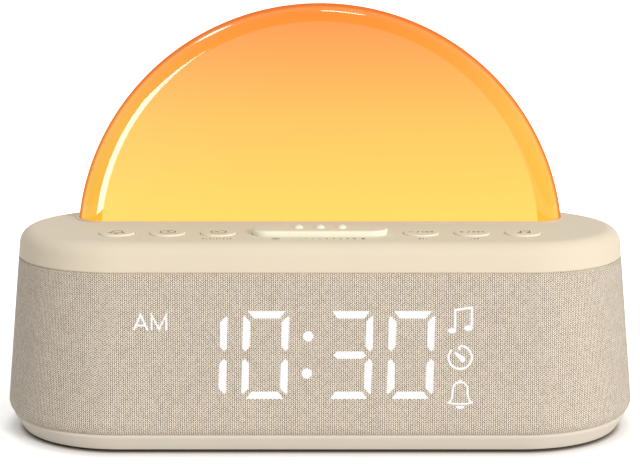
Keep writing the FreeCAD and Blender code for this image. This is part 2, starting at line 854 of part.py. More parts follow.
def speaker_screw_places():
    face = straight_half + baffle_reach
    spread = (speaker_diameter / 2 - 1.2) * math.sqrt(0.5)
    return [(side * face, sy * spread, speaker_z + sz * spread)
            for side in (-1, 1) for sy in (-1, 1) for sz in (-1, 1)]


def speaker_face(side):
    return side * (straight_half + baffle_reach)


def speaker_baskets():
    baskets = []
    for side in (-1, 1):
        inward = (-side, 0, 0)
        front = (speaker_face(side), 0, speaker_z)
        flange = rod(front, inward, 1.6, speaker_diameter)
        cup = Part.makeCone(speaker_diameter / 2 - 2, magnet_diameter / 2, speaker_depth - 6,
                            Vector(*front), Vector(*inward))
        basket = flange.fuse(cup)
        inner = Part.makeCone(speaker_diameter / 2 - 3, magnet_diameter / 2 - 1.5, speaker_depth - 7,
                              Vector(*front), Vector(*inward))
        basket = basket.cut(inner)
        for x, y, z in speaker_screw_places():
            basket = basket.cut(rod((x + 1, y, z), (-1, 0, 0), 4, small_screw + 0.2))
            basket = basket.cut(rod((x - 1, y, z), (1, 0, 0), 4, small_screw + 0.2))
        baskets.append(basket.removeSplitter().Solids[0])
    return baskets


def speaker_cones():
    cones = []
    for side in (-1, 1):
        front = Vector(speaker_face(side) - side * 0.3, 0, speaker_z)
        inward = Vector(-side, 0, 0)
        outer = Part.makeCone(speaker_diameter / 2 - 3.4, 5, 5, front, inward)
        inner = Part.makeCone(speaker_diameter / 2 - 4.0, 4.4, 5, front - inward * 0.01, inward)
        dust = Part.makeSphere(5.4, front + inward * 7.4)
        dust = dust.common(rod(tuple(front), tuple(inward), 5, 9.2))
        coil = rod(tuple(front + inward * 3.6), tuple(inward), speaker_depth - 11.9, 9.6)
        cone = outer.cut(inner).fuse([dust, coil])
        cones.append(cone.removeSplitter().Solids[0])
    return cones


def speaker_magnets():
    start = speaker_depth - 6
    return [rod((speaker_face(side) - side * start, 0, speaker_z), (-side, 0, 0), 6, magnet_diameter)
            for side in (-1, 1)]


def speaker_screws():
    fixings = []
    for x, y, z in speaker_screw_places():
        side = math.copysign(1, x)
        shank = rod((x - side * 1.6, y, z), (side, 0, 0), 1.6 + baffle_thickness - 0.3, small_screw)
        head = rod((x - side * 1.6, y, z), (-side, 0, 0), small_head_height, small_head)
        fixings.append(shank.fuse(head))
    return fixings


# Flat cables between the boards

def ribbon(x, y, width, z0, z1):
    return box(x - width / 2, x + width / 2, y - 0.15, y + 0.15, z0, z1)


def key_ribbon_place():
    return 12.0, key_y + 3.5, 9.0


def light_ribbon_place():
    return -14.0, reflector_y - board_thickness - 2.4, 6.0


def ribbon_sockets():
    """Connectors: two on the main board, one under the key board and one on the light board."""
    sockets = []
    for (x, y, width), low in ((key_ribbon_place(), board_top), (light_ribbon_place(), board_top),
                               (key_ribbon_place(), key_board_bottom - 3)):
        body = box(x - width / 2 - 1.5, x + width / 2 + 1.5, y - 1.5, y + 1.5, low, low + 3)
        slot = box(x - width / 2 - 0.1, x + width / 2 + 0.1, y - 0.2, y + 0.2, low - 1, low + 4)
        keep = box(x - width / 2 - 1.5, x + width / 2 + 1.5, y - 1.5, y + 1.5, low + 0.8, low + 2.2)
        sockets.append(body.cut(slot.common(keep)).cut(slot.cut(body_floor(x, y, width, low))))
    x, y, width = light_ribbon_place()
    back = reflector_y - board_thickness
    low = cap_top + 4
    body = box(x - width / 2 - 1.5, x + width / 2 + 1.5, back - 3.6, back, low, low + 3)
    sockets.append(body.cut(box(x - width / 2 - 0.1, x + width / 2 + 0.1, y - 0.2, y + 0.2, low, low + 2)))
    return sockets


def body_floor(x, y, width, low):
    """The end wall of a connector that its slot leaves standing, on the board's side."""
    on_top = low == board_top
    z0, z1 = (low - 1, low + 0.8) if on_top else (low + 2.2, low + 4)
    return box(x - width / 2 - 1, x + width / 2 + 1, y - 1, y + 1, z0, z1)


def key_ribbon():
    x, y, width = key_ribbon_place()
    return ribbon(x, y, width, board_top + 0.9, key_board_bottom - 0.9)


def light_ribbon():
    x, y, width = light_ribbon_place()
    return ribbon(x, y, width, board_top + 0.9, cap_top + 5.9)


def build():
    save("fabric_sleeve", fabric_sleeve())
    save("housing", housing())
    save("top_cap", top_cap())
    save("base_cover", base_cover())
    save("rubber_feet", *feet())
    save("case_screws", *case_screws())
    for name, x in zip(key_names, key_places):
        save(name + "_key", key_cap(x))
        save(name + "_plunger", plunger(x, key_y))
    save("snooze_bar", snooze_bar())
    save("snooze_plunger", plunger(0, bar_y))
    save("key_switches", *switches())
    save("key_board", key_board())
    save("key_board_screws", *key_board_screws())
    save("dome_shade", dome_shade())
    save("dome_gasket", dome_gasket())
    save("lamp_frame", lamp_frame())
    save("lamp_frame_screws", *frame_fixings())
    save("light_reflector", light_reflector())
    save("reflector_screws", *reflector_screws())
    save("light_board", light_board())
    save("light_leds", *light_leds())
    save("display_mask", display_mask())
    save("display_light_pipes", *display_pipes())
    save("display_board", display_board())
    save("display_leds", *display_leds())
    save("display_screws", *display_screws())
    save("main_board", main_board())
    save("main_board_screws", *main_board_screws())
    save("board_chips", *board_chips())
    save("board_capacitors", *board_capacitors())
    save("cell_holder", cell_holder())
    save("coin_cell", coin_cell())
    save("usb_socket", usb_socket())
    save("usb_tongue", usb_tongue())
    save("port_panel", port_panel())
    save("speaker_baskets", *speaker_baskets())
    save("speaker_cones", *speaker_cones())
    save("speaker_magnets", *speaker_magnets())
    save("speaker_screws", *speaker_screws())
    save("ribbon_sockets", *ribbon_sockets())
    save("key_ribbon", key_ribbon())
    save("light_ribbon", light_ribbon())


build()
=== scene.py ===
import math

import bmesh
import bpy
from bpy.props import FloatProperty, FloatVectorProperty, IntProperty, PointerProperty
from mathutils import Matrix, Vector


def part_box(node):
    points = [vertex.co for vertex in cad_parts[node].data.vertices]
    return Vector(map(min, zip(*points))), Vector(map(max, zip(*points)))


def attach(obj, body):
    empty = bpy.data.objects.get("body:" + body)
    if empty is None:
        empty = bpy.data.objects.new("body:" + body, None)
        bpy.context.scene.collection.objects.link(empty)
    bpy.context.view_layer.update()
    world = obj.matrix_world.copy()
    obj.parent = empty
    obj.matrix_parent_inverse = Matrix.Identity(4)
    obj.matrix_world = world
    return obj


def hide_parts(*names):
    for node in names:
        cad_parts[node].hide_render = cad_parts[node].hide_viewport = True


bl_info = {
    "name": "Sunrise alarm clock",
    "version": (1, 0, 0),
    "blender": (4, 5, 0),
    "location": "3D View > Sidebar > Clock",
    "description": "Finishes a cloth-wrapped alarm clock with a half-round sunrise lamp",
    "category": "Object",
}

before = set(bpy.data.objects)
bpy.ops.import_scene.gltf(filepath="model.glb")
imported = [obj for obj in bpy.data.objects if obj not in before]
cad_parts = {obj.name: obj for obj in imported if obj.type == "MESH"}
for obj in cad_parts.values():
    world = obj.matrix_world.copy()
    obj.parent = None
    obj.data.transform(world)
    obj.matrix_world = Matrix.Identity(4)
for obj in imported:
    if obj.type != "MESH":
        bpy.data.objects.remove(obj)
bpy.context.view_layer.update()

MM = 0.001
TURN = 2 * math.pi


def linear(code):
    """An sRGB hex colour as linear red, green and blue."""
    values = [int(code[i:i + 2], 16) / 255 for i in (1, 3, 5)]
    return tuple(v / 12.92 if v <= 0.04045 else ((v + 0.055) / 1.055) ** 2.4 for v in values)


def colour(code, name, description):
    """A colour setting with an sRGB hex default."""
    return FloatVectorProperty(name=name, description=description, default=linear(code), size=3, min=0, max=1,
                               subtype="COLOR")


def length(value_mm, name, description):
    """A length setting with its default in millimetres."""
    return FloatProperty(name=name, description=description, default=value_mm * MM, min=0, unit="LENGTH",
                         precision=5)


# Settings that a user would change

class CaseSettings(bpy.types.PropertyGroup):
    """Sizes and colours of the moulded case."""
    half_depth: length(38.6, "Half depth", "Half of the case's depth where it is widest")
    spine: length(61.4, "Spine", "Half the distance between the centres of the round ends")
    widest: length(9.5, "Widest height", "Height at which the case is widest")
    draft: FloatProperty(name="Draft", description="How far the sides lean in, for each unit of height",
                         default=0.0955)
    shell: colour("#F1E6D1", "Shell colour", "Colour of the cap, the inlet and the tops of the keys")
    # The key side colour is a painted highlight: it paints the steep sides of the keys paler where the light
    # falls on them.
    keys: colour("#FFFFEE", "Key side painted highlight", "Paler colour painted as a highlight on the steep sides of the round keys and the bar")
    base: colour("#ECE4D9", "Base colour", "Colour of the base under the cloth")
    inner: colour("#D9CDB4", "Inner colour", "Colour of the housing behind the cloth")


class ClothSettings(bpy.types.PropertyGroup):
    """Sizes and colours of the woven sleeve."""
    bottom: length(6.4, "Bottom", "Height of the cloth's lower edge")
    top: length(55.7, "Top", "Height of the cloth's upper edge")
    thickness: length(1.0, "Thickness", "Thickness of the cloth with its backing")
    curl: length(3.95, "Curl radius", "Radius of the cloth's curl into the lower seam")
    relief: length(0.08, "Relief", "Height of the ribs over the grooves")
    row: length(0.685, "Row", "Height of one row of stitches")
    ribs: IntProperty(name="Ribs", description="Herringbone ribs round the sleeve", default=372, min=8)
    slope: FloatProperty(name="Slope", description="Rise of a stitch across half a rib, in rows", default=1.0)
    seed: IntProperty(name="Seed", description="Seed of the yarn's unevenness", default=7, min=0)
    light: colour("#FFF8EA", "Yarn colour", "Colour of the raised yarn")
    middle: colour("#DFD2C3", "Blend colour", "Colour between yarn and gap")
    dark: colour("#5F5142", "Gap colour", "Colour in the gaps between the yarns")


class LampSettings(bpy.types.PropertyGroup):
    """Form and glow of the half-round lamp."""
    face_radius: length(69.8, "Face radius", "Radius of the flat face")
    face_centre: length(58.5, "Face centre", "Height of the flat face's centre")
    rim_radius: length(79.2, "Rim radius", "Radius of the rim at mid depth")
    rim_centre: length(54.5, "Rim centre", "Height of the rim's centre")
    wall: length(2.2, "Wall", "Thickness of the shade")
    low: colour("#FFE06E", "Low glow", "Glow of the face at the foot")
    middle: colour("#FFCA66", "Middle glow", "Glow of the face at mid height")
    high: colour("#FF9656", "High glow", "Glow of the face at the top")
    rim_low: colour("#FFC032", "Low rim glow", "Glow of the rim at the foot")
    rim_middle: colour("#FFBA46", "Middle rim glow", "Glow of the rim at mid height")
    rim_high: colour("#FF891E", "High rim glow", "Glow of the rim at the top")
    edge: colour("#F07A3C", "Edge glow", "Glow of the rim's outer edge")


class DisplaySettings(bpy.types.PropertyGroup):
    """Lit signs on the cloth and printed signs on the keys."""
    thickness: length(0.1, "Lit thickness", "Thickness of a lit sign over the cloth")
    stroke: length(0.6, "Stroke", "Width of a lit line")
    glow: colour("#FFFFFF", "Lit colour", "Colour of the lit signs")
    ink: colour("#4A4038", "Ink colour", "Colour of the printed signs")
    ink_stroke: length(0.38, "Ink stroke", "Width of a printed line")
    sign_scale: FloatProperty(name="Sign size", description="Size of the signs on the keys", default=1.12)
    ink_thickness: length(0.02, "Ink thickness", "Thickness of the print")


class StageSettings(bpy.types.PropertyGroup):
    """The camera and the studio."""
    camera_back: length(531.2, "Camera distance", "Distance of the camera in front of the clock's middle")
    camera_height: length(160.05, "Camera height", "Height of the camera over the table")
    camera_pitch: FloatProperty(name="Pitch", description="How far the camera looks down", default=0.183,
                                unit="ROTATION")
    camera_lens: FloatProperty(name="Lens", description="Focal length on a 36 mm sensor", default=95.41,
                               unit="CAMERA")


# Helpers for materials

def opaque(rgb):
    """A linear colour with full alpha."""
    return (rgb[0], rgb[1], rgb[2], 1.0)


def scaled(rgb, share):
    """A linear colour made darker or lighter."""
    return tuple(c * share for c in rgb)


def set_inputs(tree, node, inputs):
    """Sets or links a node's inputs; a node given as a value is linked by its first output."""
    for key, value in inputs.items():
        if isinstance(value, bpy.types.Node):
            value = value.outputs[0]
        if isinstance(value, bpy.types.NodeSocket):
            tree.links.new(value, node.inputs[key])
        else:
            node.inputs[key].default_value = value


def add_node(tree, kind, inputs=None, stops=(), **settings):
    """Adds a node with its properties and inputs, and gives a ramp its (place, linear colour) stops."""
    node = tree.nodes.new(kind)
    for key, value in settings.items():
        setattr(node, key, value)
    set_inputs(tree, node, inputs or {})
    if stops:
        elements = node.color_ramp.elements
        while len(elements) < len(stops):
            elements.new(0.5)
        for element, (place, rgb) in zip(elements, stops):
            element.position = place
            element.color = opaque(rgb)
    return node


def new_material(name, **settings):
    """A material of one Principled shader; settings are its uniform values by short name."""
    mat = bpy.data.materials.new(name)
    mat.use_nodes = True
    tree = mat.node_tree
    tree.nodes.clear()
    names = {"roughness": "Roughness", "metallic": "Metallic", "ior": "IOR", "sheen": "Sheen Weight",
             "sheen_roughness": "Sheen Roughness", "emission": "Emission Strength",
             "specular": "Specular IOR Level"}
    shader = add_node(tree, "ShaderNodeBsdfPrincipled", {names[k]: v for k, v in settings.items()})
    add_node(tree, "ShaderNodeOutputMaterial", {"Surface": shader})
    return mat, tree, shader


def moulded(name, rgb, grain_mm, roughness, specular=0.5):
    """Moulded plastic: a spark-eroded grain and a faint mottling from the flow of the melt. The real
    grain is finer than a tenth of a millimetre, and is drawn coarser so that it shows."""
    mat, tree, shader = new_material(name, roughness=roughness, ior=1.49, specular=specular)
    flow_mm = 22.2
    darkest = 0.94
    grain_depth_mm = 0.02
    place = add_node(tree, "ShaderNodeTexCoord").outputs["Object"]
    flow = add_node(tree, "ShaderNodeTexNoise", {"Vector": place, "Scale": 1 / (flow_mm * MM), "Detail": 3.0})
    tint = add_node(tree, "ShaderNodeMix", {0: flow, 6: opaque(rgb), 7: opaque(scaled(rgb, darkest))},
                    data_type="RGBA")
    grain = add_node(tree, "ShaderNodeTexNoise", {"Vector": place, "Scale": 1 / (grain_mm * MM)})
    bump = add_node(tree, "ShaderNodeBump", {"Height": grain, "Strength": 0.35,
                                             "Distance": grain_depth_mm * MM})
    set_inputs(tree, shader, {"Base Color": tint.outputs[2], "Normal": bump})
    return mat


def painted_highlight_keycap(top, side):
    """Moulded key: an eroded top as dull as the cap round it, and steep sides painted a paler colour, a
    painted highlight that shows as a bright lip where the light falls."""
    mat = moulded("moulded ABS with a painted highlight on its sides", top, 0.3, 0.6, specular=0.2)
    tree = mat.node_tree
    shader = next(node for node in tree.nodes if node.bl_idname == "ShaderNodeBsdfPrincipled")
    surface = shader.inputs["Base Color"].links[0].from_socket
    # The height of the surface's normal tells the level top from the steep sides, which get the paler colour
    # as a painted highlight.
    steep = 0.55
    flat = 0.95
    normal = add_node(tree, "ShaderNodeNewGeometry").outputs["Normal"]
    upright = add_node(tree, "ShaderNodeSeparateXYZ", {0: normal}).outputs["Z"]
    level = add_node(tree, "ShaderNodeMapRange", {"Value": upright, "From Min": steep, "From Max": flat})
    tint = add_node(tree, "ShaderNodeMix", {0: level, 6: opaque(side), 7: surface}, data_type="RGBA")
    set_inputs(tree, shader, {"Base Color": tint.outputs[2]})
    return mat


def drawn_metal(name, rgb, roughness, stretch):
    """Drawn or plated metal: fine streaks along one axis that vary its gloss."""
    mat, tree, shader = new_material(name, metallic=1.0)
    streak_mm = 1.11
    place = add_node(tree, "ShaderNodeTexCoord").outputs["Object"]
    along = add_node(tree, "ShaderNodeMapping", {"Vector": place, "Scale": stretch})
    streak = add_node(tree, "ShaderNodeTexNoise", {"Vector": along, "Scale": 1 / (streak_mm * MM),
                                                   "Detail": 3.0})
    gloss = add_node(tree, "ShaderNodeMapRange", {"Value": streak, "To Min": roughness * 0.7,
                                                  "To Max": roughness * 1.3})
    tint = add_node(tree, "ShaderNodeMix", {0: streak, 6: opaque(rgb), 7: opaque(scaled(rgb, 0.8))},
                    data_type="RGBA")
    set_inputs(tree, shader, {"Roughness": gloss, "Base Color": tint.outputs[2]})
    return mat


def circuit_laminate(name, mask_code, track_code):
    """Glass-epoxy laminate: copper tracks show as paler lines under the glossy solder mask."""
    mat, tree, shader = new_material(name, roughness=0.3, ior=1.55)
    cell_mm = 5.56
    tracks_each_cell = 6.0
    track_share = 0.4
    place = add_node(tree, "ShaderNodeTexCoord").outputs["Object"]
    cells = add_node(tree, "ShaderNodeTexVoronoi", {"Vector": place, "Scale": 1 / (cell_mm * MM)},
                     distance="MANHATTAN", feature="F1")
    lines = add_node(tree, "ShaderNodeMath", {0: cells, 1: tracks_each_cell}, operation="MULTIPLY")
    saw = add_node(tree, "ShaderNodeMath", {0: lines, 1: 1.0}, operation="FRACT")
    tint = add_node(tree, "ShaderNodeValToRGB", {"Fac": saw},
                    stops=[(0.0, linear(track_code)), (track_share, linear(mask_code))])
    tint.color_ramp.interpolation = "CONSTANT"
    set_inputs(tree, shader, {"Base Color": tint})
    return mat


def speckled(name, code, dark_code, grain_mm, roughness, bump_mm):
    """Rubber, ferrite or pressed paper: a speckled body with a soft, uneven surface."""
    mat, tree, shader = new_material(name, roughness=roughness)
    place = add_node(tree, "ShaderNodeTexCoord").outputs["Object"]
    spots = add_node(tree, "ShaderNodeTexNoise", {"Vector": place, "Scale": 1 / (grain_mm * MM),
                                                  "Detail": 6.0, "Roughness": 0.7})
    tint = add_node(tree, "ShaderNodeValToRGB", {"Fac": spots},
                    stops=[(0.35, linear(dark_code)), (0.65, linear(code))])
    bump = add_node(tree, "ShaderNodeBump", {"Height": spots, "Strength": 0.5, "Distance": bump_mm * MM})
    set_inputs(tree, shader, {"Base Color": tint, "Normal": bump})
    return mat


def lit_epoxy(name, code):
    """A lit lens: the colour glows, a little brighter in the middle of each grain of phosphor."""
    mat, tree, shader = new_material(name, roughness=0.25, emission=1.0)
    grain_mm = 1.25
    place = add_node(tree, "ShaderNodeTexCoord").outputs["Object"]
    grain = add_node(tree, "ShaderNodeTexNoise", {"Vector": place, "Scale": 1 / (grain_mm * MM)})
    full = linear(code)
    tint = add_node(tree, "ShaderNodeValToRGB", {"Fac": grain},
                    stops=[(0.3, scaled(full, 0.93)), (0.7, full)])
    set_inputs(tree, shader, {"Base Color": tint, "Emission Color": tint})
    return mat


# Helpers for meshes

def finished_mesh(bm, name):
    """A mesh of what was drawn, its faces pointing outwards."""
    bmesh.ops.recalc_face_normals(bm, faces=bm.faces)
    mesh = bpy.data.meshes.new(name)
    bm.to_mesh(mesh)
    bm.free()
    return mesh


def link(name, mesh, mat, smooth=True):
    """Puts a finished mesh into the scene as an object of one material."""
    obj = bpy.data.objects.new(name, mesh)
    bpy.context.scene.collection.objects.link(obj)
    mesh.materials.clear()
    mesh.materials.append(mat)
    if smooth:
        mesh.shade_smooth()
    return obj


def bake(obj):
    """Turns the evaluated object into its own plain mesh and drops its modifiers."""
    bpy.context.view_layer.update()
    graph = bpy.context.evaluated_depsgraph_get()
    mesh = bpy.data.meshes.new_from_object(obj.evaluated_get(graph), depsgraph=graph)
    obj.modifiers.clear()
    obj.data = mesh


def reach(case, height):
    """Distance from the case's spine to its drafted side."""
    return case.half_depth - case.draft * (height - case.widest)


def on_front(case):
    """Maps (x, z) in millimetres and a lift off the surface to a point on the drafted front."""
    lean = math.atan(case.draft)
    normal = Vector((0, -math.cos(lean), math.sin(lean)))

    def place(x, z, lift):
        return Vector((x * MM, -reach(case, z * MM), z * MM)) + normal * lift
    return place


def on_top(height):
    """Maps (x, y) in millimetres and a lift to a point over a level face."""
    def place(x, y, lift):
        return Vector((x * MM, y * MM, height + lift))
    return place


def arc_points(x, y, radius, start, end, steps, squash=1.0):
    """Points on an arc, angles in degrees."""
    angles = [math.radians(start + (end - start) * i / steps) for i in range(steps + 1)]
    return [(x + radius * math.cos(a), y + radius * squash * math.sin(a)) for a in angles]


def line_shape(points, width, closed=False):
    """A drawn line of even width as (corners, faces), its corners mitred."""
    count = len(points)
    corners = []
    for i, (x, y) in enumerate(points):
        before = points[i - 1] if closed or i else points[i]
        after = points[(i + 1) % count] if closed or i < count - 1 else points[i]
        ways = []
        for a, b in ((before, (x, y)), ((x, y), after)):
            way = Vector((b[0] - a[0], b[1] - a[1]))
            if way.length > 1e-9:
                ways.append(way.normalized())
        side = Vector((-sum(w.y for w in ways), sum(w.x for w in ways))).normalized()
        reach_out = width / 2 / max(0.35, side.dot(Vector((-ways[0].y, ways[0].x))))
        corners.append((x + side.x * reach_out, y + side.y * reach_out))
        corners.append((x - side.x * reach_out, y - side.y * reach_out))
    faces = []
    for i in range(count if closed else count - 1):
        a = 2 * i
        b = 2 * ((i + 1) % count)
        faces.append((a, a + 1, b + 1, b))
    return corners, faces


def filled(points):
    """A filled outline as (corners, faces)."""
    return points, [tuple(range(len(points)))]


def sign(name, shapes, place, thickness, mat):
    """A thin raised sign made of flat shapes, each a closed prism on a surface."""
    bm = bmesh.new()
    for corners, faces in shapes:
        lower = [bm.verts.new(place(x, y, 0.0)) for x, y in corners]
        upper = [bm.verts.new(place(x, y, thickness)) for x, y in corners]
        edges = {}
        for face in faces:
            bm.faces.new([upper[i] for i in face])
            bm.faces.new([lower[i] for i in reversed(face)])
            for a, b in zip(face, face[1:] + face[:1]):
                edges[(a, b)] = edges.pop((b, a), None) is None
        for (a, b), open_edge in edges.items():
            if open_edge:
                bm.faces.new((lower[a], lower[b], upper[b], upper[a]))
    return link(name, finished_mesh(bm, name), mat, smooth=False)


# Cloth sleeve

def cloth_material(cloth, whole):
    """Woven polyester speaker cloth: cream stitches lean left and right by turns in narrow ribs. The colour
    follows the weave's height, from cream on the raised yarn to dark in the gaps, which show as columns of
    small dark dots."""
    mat, tree, shader = new_material("woven polyester speaker cloth", roughness=0.92, sheen=0.12,
                                     sheen_roughness=0.5, specular=0.2)
    half_rib = whole / cloth.ribs / 2
    uv = add_node(tree, "ShaderNodeUVMap", uv_map="weave").outputs["UV"]
    split = add_node(tree, "ShaderNodeSeparateXYZ", {0: uv}).outputs
    column = add_node(tree, "ShaderNodeMath", {0: split["X"], 1: half_rib}, operation="DIVIDE")
    row = add_node(tree, "ShaderNodeMath", {0: split["Y"], 1: cloth.row}, operation="DIVIDE")
    lean = add_node(tree, "ShaderNodeMath", {0: column, 1: 1.0}, operation="PINGPONG")
    stitch = add_node(tree, "ShaderNodeMath", {0: lean, 1: cloth.slope, 2: row},
                      operation="MULTIPLY_ADD")

    def wave(turns, times):
        """A cosine wave that comes back so many times in each turn."""
        angle = add_node(tree, "ShaderNodeMath", {0: turns, 1: TURN * times}, operation="MULTIPLY")
        return add_node(tree, "ShaderNodeMath", {0: angle}, operation="COSINE")

    checks = add_node(tree, "ShaderNodeMath", {0: wave(column, 0.5), 1: wave(row, 0.5)},
                      operation="MULTIPLY")
    # The ribs, the leaning stitches and every other stitch each give a share of the height.
    total = 0.5
    for value, share in ((wave(column, 1.0), 0.34), (wave(stitch, 1.0), 0.44), (checks, 0.2)):
        total = add_node(tree, "ShaderNodeMath", {0: value, 1: share, 2: total},
                         operation="MULTIPLY_ADD")
    cells = [add_node(tree, "ShaderNodeMath", {0: turns}, operation="FLOOR")
             for turns in (column, stitch)]
    cell = add_node(tree, "ShaderNodeCombineXYZ", {0: cells[0], 1: cells[1]})
    patch_mm = 6.25
    fibres_each_mm = (6.0, 3.5)
    fibre_scale = (fibres_each_mm[0] / MM, fibres_each_mm[1] / MM, 1.0)
    yarn = add_node(tree, "ShaderNodeTexWhiteNoise", {"Vector": cell}, noise_dimensions="2D")
    patch = add_node(tree, "ShaderNodeTexNoise", {"Vector": uv, "Scale": 1 / (patch_mm * MM)})
    fibre_place = add_node(tree, "ShaderNodeMapping", {"Vector": uv, "Scale": fibre_scale})
    fibre = add_node(tree, "ShaderNodeTexNoise", {"Vector": fibre_place, "Scale": 1.0})
    # Each stitch, each patch of cloth and each fibre is a little lighter or darker than the next.
    for value, spread in ((yarn, 0.1), (patch, 0.05), (fibre, 0.1)):
        uneven = add_node(tree, "ShaderNodeMapRange", {"Value": value, "To Min": -spread, "To Max": spread})
        total = add_node(tree, "ShaderNodeMath", {0: total, 1: uneven}, operation="ADD")
    tint = add_node(tree, "ShaderNodeValToRGB", {"Fac": total},
                    stops=[(0.0, cloth.dark), (0.5, cloth.middle), (1.0, cloth.light)])
    bump = add_node(tree, "ShaderNodeBump", {"Height": total, "Strength": 0.6, "Distance": cloth.relief})
    set_inputs(tree, shader, {"Base Color": tint, "Normal": bump})
    return mat


def plan_places(case, count):
    """Places round the case's pill-shaped plan: the spine point and the way out, evenly spaced
    from a start in the back, where the cloth is joined."""
    straight = 2 * case.spine
    bend = TURN / 2 * case.half_depth
    whole = 2 * (straight + bend)
    start = straight * 0.25
    places = []
    for i in range(count):
        s = (start + whole * i / count) % whole
        if s < straight:
            places.append((case.spine - s, Vector((0, 1))))
        elif s < straight + bend:
            angle = TURN / 4 + (s - straight) / case.half_depth
            places.append((-case.spine, Vector((math.cos(angle), math.sin(angle)))))
        elif s < 2 * straight + bend:
            places.append((-case.spine + s - straight - bend, Vector((0, -1))))
        else:
            angle = -TURN / 4 + (s - 2 * straight - bend) / case.half_depth
            places.append((case.spine, Vector((math.cos(angle), math.sin(angle)))))
    return places, whole


def cloth_profile(case, cloth):
    """(radius, height) from the lower seam, round the curl and up the drafted side."""
    low = math.asin((case.widest - cloth.bottom) / cloth.curl)
    points = []
    curl_rows = 9
    for i in range(curl_rows):
        a = low * (1 - i / curl_rows)
        radius = case.half_depth - cloth.curl * (1 - math.cos(a))
        points.append((radius, case.widest - cloth.curl * math.sin(a)))
    rows = 112
    tuck = 0.4 * MM
    for i in range(rows + 1):
        z = case.widest + (cloth.top - tuck - case.widest) * i / rows
        points.append((reach(case, z), z))
    points.append((reach(case, cloth.top) - tuck, cloth.top))
    return points


def cloth_mesh(case, cloth):
    """A closed sleeve: a fine outer skin that carries the weave, and a plain inner skin."""
    count = cloth.ribs * 2
    places, whole = plan_places(case, count)
    profile = cloth_profile(case, cloth)
    heights = [0.0]
    for (r0, z0), (r1, z1) in zip(profile, profile[1:]):
        heights.append(heights[-1] + math.hypot(r1 - r0, z1 - z0))
    inner = [(radius - cloth.thickness, height) for radius, height in (profile[-1], profile[0])]
    rings = profile + inner
    levels = heights + [heights[-1] + cloth.thickness, -cloth.thickness]
    verts = [(x + way.x * r, way.y * r, z) for r, z in rings for x, way in places]
    faces = []
    corners = []
    for j in range(len(rings)):
        up = (j + 1) % len(rings)
        for i in range(count):
            right = (i + 1) % count
            faces.append((j * count + i, j * count + right, up * count + right, up * count + i))
            u0 = whole * i / count
            u1 = whole * (i + 1) / count
            corners += [u0, levels[j], u1, levels[j], u1, levels[up], u0, levels[up]]
    mesh = bpy.data.meshes.new("cloth")
    mesh.from_pydata(verts, [], faces)
    mesh.uv_layers.new(name="weave").data.foreach_set("uv", corners)
    weave = mesh.attributes.new("yarn", "FLOAT_VECTOR", "POINT")
    outer = len(profile)
    place = []
    for j, level in enumerate(levels):
        skin = 1.0 if j < outer else 0.0
        for i in range(count):
            place += [whole * i / count, level, skin]
    weave.data.foreach_set("vector", place)
    return mesh, whole


def socket_key(tree, name):
    """The identifier of a group's named input."""
    for item in tree.interface.items_tree:
        if item.name == name and item.in_out == "INPUT":
            return item.identifier
    raise ValueError(name)


def rib_relief_tree():
    """Geometry nodes that sink the grooves between a sleeve's ribs, a little unevenly."""
    tree = bpy.data.node_groups.new("rib relief", "GeometryNodeTree")
    tree.interface.new_socket("Geometry", in_out="INPUT", socket_type="NodeSocketGeometry")
    for name in ("Half rib", "Relief"):
        tree.interface.new_socket(name, in_out="INPUT", socket_type="NodeSocketFloat")
    tree.interface.new_socket("Seed", in_out="INPUT", socket_type="NodeSocketInt")
    tree.interface.new_socket("Material", in_out="INPUT", socket_type="NodeSocketMaterial")
    tree.interface.new_socket("Geometry", in_out="OUTPUT", socket_type="NodeSocketGeometry")
    given = add_node(tree, "NodeGroupInput").outputs
    yarn = add_node(tree, "GeometryNodeInputNamedAttribute", {"Name": "yarn"}, data_type="FLOAT_VECTOR")
    split = add_node(tree, "ShaderNodeSeparateXYZ", {0: yarn.outputs["Attribute"]}).outputs
    shallowest = 0.4
    uneven = add_node(tree, "FunctionNodeRandomValue", {2: shallowest, 3: 1.0, "Seed": given["Seed"]},
                      data_type="FLOAT").outputs[1]
    depth = split["X"]
    for operation, value in (("PINGPONG", given["Half rib"]), ("DIVIDE", given["Half rib"]),
                             ("MULTIPLY", uneven), ("MULTIPLY", given["Relief"]),
                             ("MULTIPLY", split["Z"]), ("MULTIPLY", -1.0)):
        depth = add_node(tree, "ShaderNodeMath", {0: depth, 1: value}, operation=operation)
    normal = add_node(tree, "GeometryNodeInputNormal")
    offset = add_node(tree, "ShaderNodeVectorMath", {0: normal, "Scale": depth}, operation="SCALE")
    sunk = add_node(tree, "GeometryNodeSetPosition", {"Geometry": given["Geometry"], "Offset": offset})
    real = add_node(tree, "GeometryNodeRealizeInstances", {"Geometry": sunk})
    finish = add_node(tree, "GeometryNodeSetMaterial", {"Geometry": real, "Material": given["Material"]})
    add_node(tree, "NodeGroupOutput", {"Geometry": finish})
    return tree


def cut_opening(obj, low, high, radius):
    """Cuts a round-cornered opening along Y through a piece."""
    bm = bmesh.new()
    bmesh.ops.create_cube(bm, size=1.0)
    for v in bm.verts:
        v.co = Vector([low[i] + (v.co[i] + 0.5) * (high[i] - low[i]) for i in range(3)])
    edges = [e for e in bm.edges if abs(e.verts[0].co.y - e.verts[1].co.y) > 1e-6]
    corner_steps = 8
    bmesh.ops.bevel(bm, geom=edges, offset=radius, segments=corner_steps, profile=0.5, affect="EDGES")
    cutter = bpy.data.objects.new("cutter", finished_mesh(bm, "cutter"))
    bpy.context.scene.collection.objects.link(cutter)
    cut = obj.modifiers.new("opening", "BOOLEAN")
    cut.object = cutter
    cut.operation = "DIFFERENCE"
    cut.solver = "EXACT"
    bake(obj)
    bpy.data.objects.remove(cutter)


